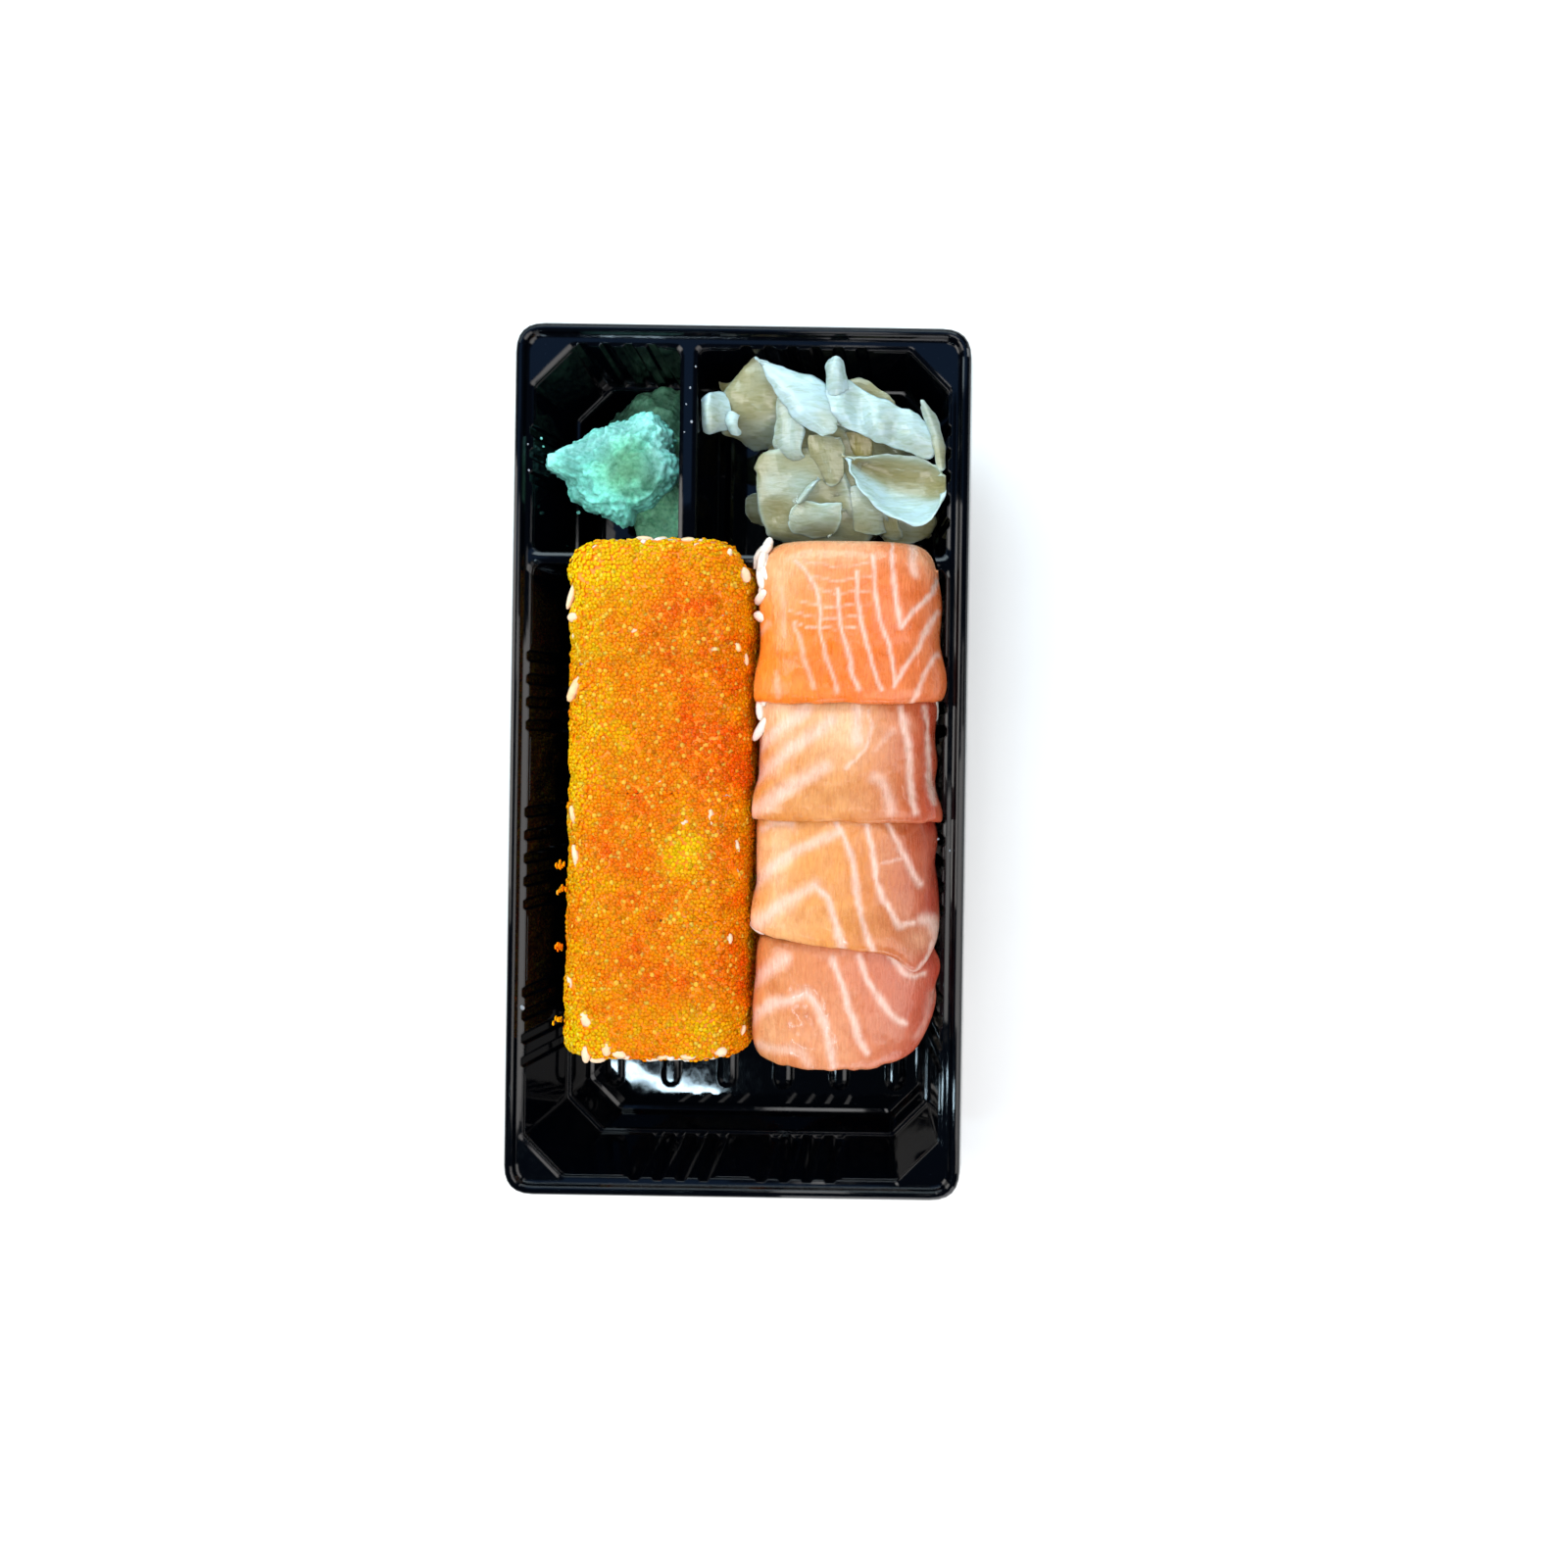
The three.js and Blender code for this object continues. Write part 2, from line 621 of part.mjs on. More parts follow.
put("wasabi", makeWasabi(), wasabiPaste, WASABI.cap.x, WASABI.cap.y, FLOOR);
put("pickled_ginger", makeGinger(), gingerFlesh, GINGER_CORE.x, GINGER_CORE.y, FLOOR);

export default group;
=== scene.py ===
# A takeaway sushi tray as it looks when bought: roe rolls, salmon rolls, a squeeze of wasabi and
# heaped pickled ginger in a glossy black tray. Measures here are millimetres, and meshes are metres.

import math

import bpy
import numpy as np
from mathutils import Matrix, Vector


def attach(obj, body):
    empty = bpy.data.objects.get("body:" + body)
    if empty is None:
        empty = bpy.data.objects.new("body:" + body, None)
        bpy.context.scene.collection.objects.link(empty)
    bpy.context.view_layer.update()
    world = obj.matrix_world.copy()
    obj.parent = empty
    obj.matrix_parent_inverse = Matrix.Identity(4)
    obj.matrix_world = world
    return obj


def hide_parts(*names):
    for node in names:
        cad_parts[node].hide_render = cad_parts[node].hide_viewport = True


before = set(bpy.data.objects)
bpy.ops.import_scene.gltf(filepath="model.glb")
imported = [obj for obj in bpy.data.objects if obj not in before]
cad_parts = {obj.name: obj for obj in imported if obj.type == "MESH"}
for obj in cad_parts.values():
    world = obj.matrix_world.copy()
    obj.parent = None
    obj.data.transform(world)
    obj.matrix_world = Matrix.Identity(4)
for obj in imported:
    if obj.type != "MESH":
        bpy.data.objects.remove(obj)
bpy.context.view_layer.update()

MM = 0.001


# ---------- the table, the light and the view ----------
# A pale table top in a dim bluish room, under eight lamps: two big warm ones to the left and overhead,
# a cool window behind, a front fill and four small ones that shine in the plastic. The view is
# from straight above the tray's right-hand wall.

def linear(red, green, blue):
    """A colour given as 0 to 255 on a screen, as light."""
    values = [v / 255 for v in (red, green, blue)]
    return [v / 12.92 if v <= 0.04045 else ((v + 0.055) / 1.055) ** 2.4 for v in values]


def shader(tree, kind, sockets=None, **settings):
    """A new node, with its settings, and its sockets set to values or joined to other nodes."""
    made = tree.nodes.new(kind)
    for name, value in settings.items():
        setattr(made, name, value)
    for name, value in (sockets or {}).items():
        if isinstance(value, bpy.types.NodeSocket):
            tree.links.new(value, made.inputs[name])
        else:
            made.inputs[name].default_value = value
    return made


def finish(name, sockets):
    """A new material with these values on its surface; its tree and its surface node."""
    material = bpy.data.materials.new(name)
    material.use_nodes = True
    tree = material.node_tree
    surface = tree.nodes["Principled BSDF"]
    for socket, value in sockets.items():
        surface.inputs[socket].default_value = value
    return material, tree, surface


def ramp(tree, value, stops):
    """A colour ramp fed by a value: stops are (place, light colour)."""
    made = shader(tree, "ShaderNodeValToRGB", {"Fac": value})
    while len(made.color_ramp.elements) < len(stops):
        made.color_ramp.elements.new(0.5)
    for element, (place, colour) in zip(made.color_ramp.elements, stops):
        element.position = place
        element.color = (*colour, 1)
    return made.outputs["Color"]


TABLE_COLOUR = linear(246, 246, 245)
TABLE_HALF = 3000 * MM  # half its side
table_mesh = bpy.data.meshes.new("table_top")
corners = [(x * TABLE_HALF, y * TABLE_HALF, 0) for x, y in ((-1, -1), (1, -1), (1, 1), (-1, 1))]
table_mesh.from_pydata(corners, [], [(0, 1, 2, 3)])
table_top = bpy.data.objects.new("table_top", table_mesh)
bpy.context.scene.collection.objects.link(table_top)
table_finish, tree, surface = finish("pale_table", {"Roughness": 0.6})
speckle = shader(tree, "ShaderNodeTexNoise", {"Scale": 90.0, "Detail": 5.0})
table_colour = ramp(
    tree, speckle.outputs["Fac"], [(0.3, [v * 0.96 for v in TABLE_COLOUR]), (0.7, TABLE_COLOUR)]
)
tree.links.new(table_colour, surface.inputs["Base Color"])
table_mesh.materials.append(table_finish)

# Each lamp's shape, place, what it points at, its turn in degrees, its size, its power in watts
# and its colour.
LAMPS = {
    "soft_box": ("RECTANGLE", (-430, 30, 370), (0, -5, 25), 0, (280, 400), 2.08, (1.0, 0.97, 0.93)),
    "overhead": ("RECTANGLE", (250, -90, 470), (10, -20, 20), 0, (300, 500), 2.0, (1.0, 0.97, 0.95)),
    "window": ("RECTANGLE", (-90, 330, 270), (-10, 70, 25), 0, (460, 170), 1.75, (0.74, 0.92, 1.0)),
    "sky": ("RECTANGLE", (-70, 225, 450), (0, 60, 25), 0, (420, 130), 0.12, (0.2, 0.45, 1.0)),
    "ceiling": ("RECTANGLE", (-25, 82, 440), (18, 33, 38), 0, (60, 90), 0.1, (1.0, 1.0, 1.0)),
    "spot": ("RECTANGLE", (-135, -202, 430), (-25, -76, 1), 24, (84, 9), 0.2, (0.62, 0.85, 1.0)),
    "front_fill": ("RECTANGLE", (120, -430, 210), (0, -60, 20), 0, (360, 180), 1.1, (0.97, 0.97, 1.0)),
    "glint": ("RECTANGLE", (300, 250, 260), (-40, -80, 20), 0, (60, 60), 0.12, (0.9, 0.97, 1.0)),
}
for name, (shape, at, to, turn, size, power, colour) in LAMPS.items():
    light = bpy.data.lights.new(name, "AREA")
    light.shape = shape
    light.size, light.size_y = (v * MM for v in size)
    light.energy = power
    light.color = colour
    holder = bpy.data.objects.new(name, light)
    holder.location = Vector(at) * MM
    aimed = (Vector(to) - Vector(at)).to_track_quat("-Z", "Y").to_euler()
    aimed.rotate_axis("Z", math.radians(turn))
    holder.rotation_euler = aimed
    bpy.context.scene.collection.objects.link(holder)

room = bpy.data.worlds.new("room")
bpy.context.scene.world = room
room.use_nodes = True
room_light = room.node_tree.nodes["Background"]
room_light.inputs["Color"].default_value = (0.5, 0.7, 1.0, 1)
room_light.inputs["Strength"].default_value = 0.07
bpy.context.scene.view_settings.view_transform = "Standard"

EYE = (47.0, 6.3, 281.0)
EYE_TURN = 0.85  # degrees round the upright axis
eye = bpy.data.cameras.new("eye")
eye.sensor_width = 36
eye.lens = 27.1
eye.shift_x = -0.1125
eye.shift_y = -0.03125
eye.clip_start = 0.01
eye_holder = bpy.data.objects.new("eye", eye)
eye_holder.location = [v * MM for v in EYE]
eye_holder.rotation_euler = (0, 0, math.radians(EYE_TURN))
bpy.context.scene.collection.objects.link(eye_holder)
bpy.context.scene.camera = eye_holder


# ---------- the tray ----------
# One sheet of glossy black plastic, heated and drawn into a mould, so its corners are a little
# rounded and its flats a little wavy. It lies on the table. Starch dust and a few drops cling to it.

def relief(tree, surface, height, depth, strength=1.0, normal=None):
    """Joins a height to the surface as bumps of this depth in millimetres."""
    sockets = {"Height": height, "Distance": depth * MM, "Strength": strength}
    if normal is not None:
        sockets["Normal"] = normal
    bump = shader(tree, "ShaderNodeBump", sockets)
    tree.links.new(bump.outputs["Normal"], surface.inputs["Normal"])
    return bump.outputs["Normal"]


def on_piece(tree):
    """Each point's own place on the piece, for patterns that stay at true size."""
    return shader(tree, "ShaderNodeTexCoord").outputs["Object"]


def clouds(tree, place, scale, detail, **more):
    """A cloudy pattern over the piece."""
    sockets = {"Vector": place, "Scale": scale, "Detail": detail, **more}
    return shader(tree, "ShaderNodeTexNoise", sockets).outputs["Fac"]


def dulled(tree, surface, pattern, low, high, glossiest, dullest):
    """The surface's gloss varied by a pattern between these two of its values."""
    sockets = {"Value": pattern, "From Min": low, "From Max": high, "To Min": glossiest, "To Max": dullest}
    found = shader(tree, "ShaderNodeMapRange", sockets)
    tree.links.new(found.outputs["Result"], surface.inputs["Roughness"])


PLASTIC = linear(1, 2, 5)
DUST_BRIGHT, DUST_EDGE = linear(34, 42, 60), linear(7, 9, 16)
black_plastic, tree, surface = finish(
    "black_plastic", {"Roughness": 0.12, "IOR": 1.5, "Specular IOR Level": 0.3}
)
place = on_piece(tree)
soft_edge = shader(tree, "ShaderNodeBevel", {"Radius": 0.5 * MM}, samples=4)
relief(tree, surface, clouds(tree, place, 60.0, 2.0), 0.25, 0.35, soft_edge.outputs["Normal"])
dulled(tree, surface, clouds(tree, place, 420.0, 6.0, Roughness=0.7), 0.35, 0.75, 0.02, 0.1)
dust = shader(tree, "ShaderNodeTexVoronoi", {"Vector": place, "Scale": 620.0})
speck = ramp(tree, dust.outputs["Distance"], [(0.0, DUST_BRIGHT), (0.05, DUST_EDGE), (0.07, PLASTIC)])
tree.links.new(speck, surface.inputs["Base Color"])
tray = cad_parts["tray"]
tray.data.materials.clear()
tray.data.materials.append(black_plastic)


def mesh_piece(name, points, faces, material, tint=None):
    """A smooth mesh of triangles from points in millimetres, with a colour at each point."""
    mesh = bpy.data.meshes.new(name)
    faces = np.ascontiguousarray(faces, np.int32)
    mesh.vertices.add(len(points))
    mesh.vertices.foreach_set("co", (np.asarray(points) * MM).astype(np.float32).ravel())
    mesh.loops.add(faces.size)
    mesh.loops.foreach_set("vertex_index", faces.ravel())
    mesh.polygons.add(len(faces))
    mesh.polygons.foreach_set("loop_start", np.arange(0, faces.size, 3, dtype=np.int32))
    mesh.update(calc_edges=True)
    mesh.shade_smooth()
    if tint is not None:
        layer = mesh.attributes.new("tint", "FLOAT_COLOR", "POINT")
        whole = np.concatenate([tint, np.ones((len(tint), 1))], axis=1)
        layer.data.foreach_set("color", whole.astype(np.float32).ravel())
    mesh.materials.append(material)
    made = bpy.data.objects.new(name, mesh)
    bpy.context.scene.collection.objects.link(made)
    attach(made, "root")
    return made


def copies(shape, places, turns, sizes):
    """One shape laid at many places, each turned and sized: all the points and all the faces."""
    corners, faces = shape
    points = np.einsum("nij,nkj->nki", turns, corners[None] * sizes[:, None]) + places[:, None]
    first = np.arange(len(places))[:, None, None] * len(corners)
    return points.reshape(-1, 3), (faces[None] + first).reshape(-1, 3)


def upright(normals, spins):
    """Turns that stand a shape on a surface: its third axis on the normal, spun round it."""
    normals = normals / np.linalg.norm(normals, axis=1, keepdims=True)
    steep = np.abs(normals[:, 2:3]) < 0.9
    helper = np.where(steep, [[0, 0, 1.0]], [[1.0, 0, 0]])
    along = np.cross(helper, normals)
    along /= np.linalg.norm(along, axis=1, keepdims=True)
    across = np.cross(normals, along)
    c, s = np.cos(spins)[:, None], np.sin(spins)[:, None]
    return np.stack([c * along + s * across, c * across - s * along, normals], axis=2)


def dome(sides, levels):
    """A closed low dome of these sides: levels are (radius, height) from the foot up, before its
    top, and each is turned by half a side from the one under it."""
    turn = np.arange(sides) / sides * 2 * math.pi
    rings = []
    for k, (radius, height) in enumerate(levels):
        turned = turn + k * math.pi / sides
        rings.append(np.stack([radius * np.cos(turned), radius * np.sin(turned), np.full(sides, height)], 1))
    points = np.concatenate([*rings, [[0, 0, 1.0]], [[0, 0, levels[0][1]]]])
    faces = []
    for k in range(len(levels) - 1):
        for i in range(sides):
            low, next_low = k * sides + i, k * sides + (i + 1) % sides
            faces += [(low, next_low, low + sides), (next_low, next_low + sides, low + sides)]
    top, foot = len(points) - 2, len(points) - 1
    last = (len(levels) - 1) * sides
    for i in range(sides):
        faces.append((last + i, last + (i + 1) % sides, top))
        faces.append(((i + 1) % sides, i, foot))
    return points, np.array(faces)


# Drops of water and crumbs of starch: place on the tray, and size.
DROPS = [
    (-10.2, 83.5, 31, 0.25), (-11.3, 79, 31, 0.3), (-12.1, 75.5, 31, 0.22), (-10.9, 71.8, 31, 0.35),
    (-12.4, 69.6, 31, 0.2), (-45.6, 66.5, 31, 0.35), (-45.2, 61, 31, 0.3), (-46.1, 57.2, 31, 0.25),
    (-46.8, -13.6, 31, 0.7), (-44.9, -52.8, 31, 0.6), (42.6, -15.8, 31, 0.3), (45.1, -18.2, 31, 0.25),
    (46.2, -26.5, 31, 0.3), (45.6, 33.1, 31, 0.2), (46.4, 12.5, 31, 0.25), (-46.2, 12.1, 31, 0.2),
]
random = np.random.default_rng(11)
spots = np.array([d[:3] for d in DROPS], float)
sizes = np.array([(d[3], d[3] * 0.8, d[3] * 0.45) for d in DROPS])
turns = upright(np.tile([0, 0, 1.0], (len(spots), 1)), random.uniform(0, 6, len(spots)))
points, faces = copies(dome(10, [(1.0, 0.0), (0.93, 0.35), (0.62, 0.78)]), spots, turns, sizes)
WATER_DARK, WATER_BRIGHT = linear(60, 70, 84), linear(176, 184, 190)
water, tree, surface = finish("water_drop", {"Roughness": 0.05, "IOR": 1.33})
cloud = shader(tree, "ShaderNodeTexNoise", {"Scale": 900.0})
water_colour = ramp(tree, cloud.outputs["Fac"], [(0.3, WATER_DARK), (0.7, WATER_BRIGHT)])
tree.links.new(water_colour, surface.inputs["Base Color"])
mesh_piece("tray_drops", points, faces, water)


# ---------- the roe rolls ----------
# A long pressed roll of rice, coated on its outside with capelin roe and cut in four by a wet
# knife. It is pushed against the salmon rolls, and its ends show bare rice.

ROLL_BOTTOM = 1.9
# A column's section is a rounded square of this exponent, and its cut edges are rounded a little.
# Its cuts are the ends and the knife cuts from the back to the front, with a seam at each.
ROE_COLUMN = {
    "x": -16.75, "half_width": 19.75, "top": 38.6, "squareness": 4.2, "cut_rounding": 0.25, "seam": 0.03,
    "cuts": [46.3, 19.5, -6.7, -32.9, -62.4],
}
SALMON_COLUMN = {
    "x": 23, "half_width": 17.2, "top": 35.2, "squareness": 3.4, "cut_rounding": 1.1, "seam": 0.15,
    "cuts": [45.2, 14.8, -9.6, -36.2, -61.8],
}
DIVIDER_TOP = 31.6
DIVIDER_FACE = 40.8  # where the first piece's lower part stops, at the cross divider
# The tray's inside: its right, left and front walls at the rim, and how far they stand in lower down.
WALL_LEFT, WALL_RIGHT, WALL_FRONT = -44.5, 43.5, -88.5
WALL_HEIGHTS = [1.1, 2.0, 10.6, 11.2, 30.4, 31.2, 60]
WALL_INSETS = [5.5, 4.7, 3.7, 2.8, 0.0, -0.8, -0.8]


def smoothstep(low, high, value):
    """From 0 at low to 1 at high, with soft ends."""
    t = np.clip((value - low) / (high - low), 0, 1)
    return t * t * (3 - 2 * t)


def rounding(distance, radius):
    """How far a rounded edge draws back at this distance from the end."""
    left = np.clip(radius - distance, 0, radius)
    return radius - np.sqrt(radius * radius - left * left)


def lumps(x, y, z, seed):
    """Broad even lumps of pressed rice, from -1 to 1, the same as the solids have."""
    wide = np.sin(x * 0.9 + seed) * np.sin(y * 0.8 + seed * 2.3 + z * 0.4)
    fine = np.sin(x * 2.1 + z * 1.7 + seed * 1.7) * np.sin(y * 2.3 - z * 1.1 + seed)
    return 0.55 * wide + 0.45 * fine


def uneven(points, size, seed):
    """Smooth random values from -1 to 1 at these points, with features of this size."""
    cells = 32
    lattice = np.random.default_rng(seed).uniform(-1, 1, (cells, cells, cells))
    place = np.asarray(points, float) / size
    cell = np.floor(place).astype(int)
    t = place - cell
    t = t * t * (3 - 2 * t)
    total = np.zeros(len(place))
    for dx in (0, 1):
        for dy in (0, 1):
            for dz in (0, 1):
                share = (t[:, 0] if dx else 1 - t[:, 0]) * (t[:, 1] if dy else 1 - t[:, 1])
                share = share * (t[:, 2] if dz else 1 - t[:, 2])
                corner = (cell + [dx, dy, dz]) % cells
                total += share * lattice[corner[:, 0], corner[:, 1], corner[:, 2]]
    return total


def within_walls(points, gap=0.35):
    """The points drawn in where the tray's walls would cut them."""
    inset = np.interp(points[:, 2], WALL_HEIGHTS, WALL_INSETS) + gap
    out = points.copy()
    out[:, 0] = np.clip(points[:, 0], WALL_LEFT + inset, WALL_RIGHT - inset)
    out[:, 1] = np.maximum(points[:, 1], WALL_FRONT + inset)
    return out


def on_roll(column, number, angle, along, reach=1.0, under=0.0):
    """Points on one cut length: round it by angle, along it from -1 to 1, from its middle to its
    skin by reach, and this far under the skin."""
    cuts = column["cuts"]
    first, last = number == 0, number == len(cuts) - 2
    back = DIVIDER_FACE - under if first else cuts[number] - column["seam"]
    front = cuts[number + 1] + (under if last else column["seam"])
    lip = cuts[0] - back if first else 0
    middle, half_length = (back + front) / 2, (back - front) / 2
    half_height = (column["top"] - ROLL_BOTTOM) / 2
    from_ends = (1 - along) * half_length, (1 + along) * half_length
    cut_rounding = column["cut_rounding"]
    inset = rounding(from_ends[0], 5.5 if first else cut_rounding)
    inset = inset + rounding(from_ends[1], 2.6 if last else cut_rounding)
    a, c = np.cos(angle), np.sin(angle)
    side = np.maximum(np.abs(a), np.abs(c))
    a, c = a / side, c / side
    power = column["squareness"]
    spread = (np.abs(a) ** power + np.abs(c) ** power) ** (-1 / power)
    lump = 0.35 * lumps(a * 16, along * half_length + middle, c * 16, column["x"] + 3.1 * number) - under
    x = column["x"] + a * spread * reach * (column["half_width"] - inset + lump)
    z = ROLL_BOTTOM + half_height + c * spread * reach * (half_height - 0.7 * inset + lump)
    lean = lip * smoothstep(14, 34, z) * ((1 + along) / 2) ** 2
    points = np.stack([x, middle + along * half_length + lean, np.maximum(z, ROLL_BOTTOM)], axis=1)
    if column is ROE_COLUMN:  # its back left corner leans out
        leaning = 1.5 * reach * np.exp(-(((points[:, 1] - 42) / 4.5) ** 2))
        points[:, 0] -= leaning * smoothstep(-24, -36, x) * smoothstep(24, 34, z)
    points = within_walls(points)
    if first:
        low = points[:, 2] < DIVIDER_TOP
        points[low, 1] = np.minimum(points[low, 1], DIVIDER_FACE)
    return points


def skin_of(rings, count, capped=True):
    """Triangles over rings of points laid one after another, each closed on itself. The first and
    the last ring are capped, unless they get ends of their own."""
    faces = []
    turn = np.arange(count)
    after = (turn + 1) % count
    for r in range(rings - 1):
        low, high = r * count, (r + 1) * count
        faces.append(np.stack([low + turn, low + after, high + after], 1))
        faces.append(np.stack([low + turn, high + after, high + turn], 1))
    if capped:
        fan = np.arange(1, count - 1)
        last = (rings - 1) * count
        faces.append(np.stack([fan * 0, fan + 1, fan], 1))
        faces.append(np.stack([fan * 0 + last, last + fan, last + fan + 1], 1))
    return np.concatenate(faces)


def rice_core(column, number, under, roughness):
    """The pressed rice of one length, closed at both ends, with the unevenness of its grains."""
    around, slices = 88, 40
    turn = np.linspace(0, 2 * math.pi, around, endpoint=False)
    along = np.sin(np.linspace(-1, 1, slices) * math.pi / 2)
    caps = [0.02, 0.3, 0.55, 0.75, 0.9]
    rows = [(-1.0, r) for r in caps] + [(b, 1.0) for b in along] + [(1.0, r) for r in reversed(caps)]
    points = np.concatenate([
        on_roll(column, number, turn, np.full(around, b), reach, under) for b, reach in rows
    ])
    centre = points.mean(axis=0)
    outward = points - centre
    ahead = np.abs(outward[:, 1])
    outward[:, 1] *= np.where(ahead > 0.96 * ahead.max(), 1, 0.1)
    outward /= np.linalg.norm(outward, axis=1, keepdims=True)
    swell = 0.6 * uneven(points, 2.6, number) + 0.4 * uneven(points * [1, 1.6, 1], 1.3, number + 50)
    swell = swell * roughness
    if column is ROE_COLUMN:
        swell = swell + 0.5 * uneven(points, 3.4, 5)
    points = within_walls(points + outward * swell[:, None])
    points[:, 2] = np.maximum(points[:, 2], ROLL_BOTTOM)
    return points, skin_of(len(rows), around)[:, ::-1]


def grain_shape():
    """One cooked grain, a unit long and wide, a little bent, with blunt ends."""
    sides, stations = 7, [-0.485, -0.38, -0.12, 0.16, 0.39, 0.485]
    turn = np.arange(sides) / sides * 2 * math.pi
    rings = []
    for t in stations:
        radius = 0.5 * (1 - (2 * t) ** 2) ** 0.42
        bend = 0.25 * t * t
        rings.append(np.stack([np.full(sides, t), radius * np.cos(turn), radius * np.sin(turn) + bend], 1))
    faces = skin_of(len(rings), sides, capped=False)
    points = np.concatenate([*rings, [[-0.5, 0, 0.06]], [[0.5, 0, 0.06]]])
    ends = []
    last = (len(rings) - 1) * sides
    for i in range(sides):
        j = (i + 1) % sides
        ends += [(j, i, len(points) - 2), (last + i, last + j, len(points) - 1)]
    return points, np.concatenate([faces, ends])


GRAIN = grain_shape()
EGG = dome(6, [(1.0, -0.3), (0.8, 0.6)])
# Each egg is painted deeper and redder towards its foot, as shade and the glow through it, and
# lighter at its top as a highlight: its foot ring, its upper ring, its top and its foot's middle.
EGG_GLOW = np.array([(1, 0.72, 0.4)] * 6 + [(1, 0.97, 0.9)] * 6 + [(1, 1.04, 1.1), (1, 0.72, 0.4)])


def tinted(tree, surface, *patterns):
    """Joins the colour that each point of the piece has, times these patterns, to the surface."""
    colour = shader(tree, "ShaderNodeAttribute", attribute_name="tint").outputs["Color"]
    for pattern in patterns:
        sockets = {"Factor": 1.0, "A": colour, "B": pattern}
        mixed = shader(tree, "ShaderNodeMix", sockets, data_type="RGBA", blend_type="MULTIPLY")
        colour = mixed.outputs["Result"]
    tree.links.new(colour, surface.inputs["Base Color"])


RICE_WHITE = np.array(linear(243, 234, 224))
cooked_rice, tree, surface = finish("cooked_rice", {
    "Roughness": 0.34, "IOR": 1.38,
    "Subsurface Weight": 0.35, "Subsurface Radius": (1.0, 0.85, 0.65), "Subsurface Scale": 1.1 * MM,
})
starch = clouds(tree, on_piece(tree), 700.0, 4.0)
tinted(tree, surface, ramp(tree, starch, [(0.3, (0.86, 0.83, 0.78)), (0.65, (1, 1, 1))]))
relief(tree, surface, starch, 0.12, 0.6)

fish_roe, tree, surface = finish("fish_roe", {
    "Roughness": 0.22, "IOR": 1.36, "Specular IOR Level": 0.17,
    "Subsurface Weight": 0.7, "Subsurface Radius": (1.0, 0.55, 0.15), "Subsurface Scale": 1.8 * MM,
})
yolk = clouds(tree, on_piece(tree), 1500.0, 2.0)
tinted(tree, surface, ramp(tree, yolk, [(0.3, (0.97, 0.86, 0.7)), (0.6, (1, 1, 1))]))
relief(tree, surface, yolk, 0.03, 0.4)

# Bare grains between the eggs: x, y, length across, length along.
BARE_GRAINS = [
    (-34.9, 34.7, 1.8, 6.5), (-33.8, 29.7, 3.0, 2.8), (-34.0, 25.8, 1.0, 1.4), (-33.3, 15.0, 2.8, 6.3),
    (-33.3, -11.7, 2.0, 4.1), (-32.4, -20.5, 2.0, 5.9), (-30.6, -13.7, 1.2, 3.7), (-33.2, -46.8, 2.0, 3.7),
    (-29.3, -53.9, 3.4, 4.5), (-29.5, -60.4, 2.4, 4.5), (-25.0, -59.5, 2.6, 2.8), (-1.8, -60.1, 2.6, 2.6),
    (1.9, -56.8, 1.4, 2.2), (-9.2, -31.9, 2.2, 1.6), (-4.4, -10.9, 1.8, 4.1), (-9.8, -12.7, 2.2, 2.2),
    (0.6, -17.8, 1.0, 3.0), (0.5, -23.1, 1.4, 3.0), (-0.5, -36.9, 1.6, 2.2), (-29.2, 44.1, 1.8, 1.6),
    (-19.6, 46.2, 3.6, 1.7), (-16.6, 46.2, 3.2, 1.6), (-10.9, 46.0, 3.6, 1.7), (-8.3, 44.9, 2.4, 1.4),
    (-1.8, 43.4, 1.4, 2.2), (1.2, 39.3, 2.8, 3.2), (-28.8, 39.3, 1.6, 2.4), (-32.0, 37.7, 1.6, 1.4),
    (-20.8, 26.7, 3.0, 1.6), (-14.7, 29.5, 1.4, 1.4), (-2.8, 30.4, 1.4, 1.3), (-4.3, 23.3, 1.6, 1.6),
    (0.2, 24.0, 1.6, 2.0), (1.6, 21.5, 1.2, 2.6), (-19.6, 2.9, 1.6, 1.1), (-22.4, -60.6, 2.8, 2.0),
    (-8.2, -60.8, 3.0, 1.8), (-13.5, -61.0, 2.6, 1.6), (-27.1, -62.0, 3.2, 1.8),
]
# Where the roe looks yellower or redder, partly its own mottling and partly painted light: yellower
# where it is lit on the left, redder in the shade on the right. Each is x, y, radius, and how far
# towards yellow (+) or red (-).
ROE_SHADES = [
    (-32, 43, 9, 0.95), (-34.5, 27, 6, 0.45), (2.5, 38, 6, 0.6), (-16, 45, 14, 0.45), (-7, 34, 8, -0.75),
    (-12, 38, 7, -0.3), (-10, 20.5, 8, -0.45), (-1, 4, 9, -0.6), (-17, -8, 9, -0.6), (-28, -19, 4, -0.5),
    (-10, -19.3, 3.6, 1.0), (-20, -23, 6, -0.35), (-33.5, -25, 6, 0.5), (-16, -44, 9, -0.4),
    (-4, -57, 8, 0.35), (-32, -57, 8, 0.75), (-30, 9, 7, 0.2), (2.5, -4, 6, -0.9), (2.5, 18, 5, -0.5),
    (2.5, -30, 8, -0.6), (-33, -5, 8, 0.45), (-33, -42, 8, 0.4), (2.5, -46, 6, -0.4), (-24, 20, 9, 0.15),
    (-7, 0, 9, -0.45), (-1, -40, 7, -0.4), (4, -20, 6, -0.5), (4, -52, 7, -0.5), (-18, 14, 7, -0.3),
    (-28, 33, 6, 0.2), (-27, -20, 5, 0.2), (-6, 31, 5, -0.25),
]
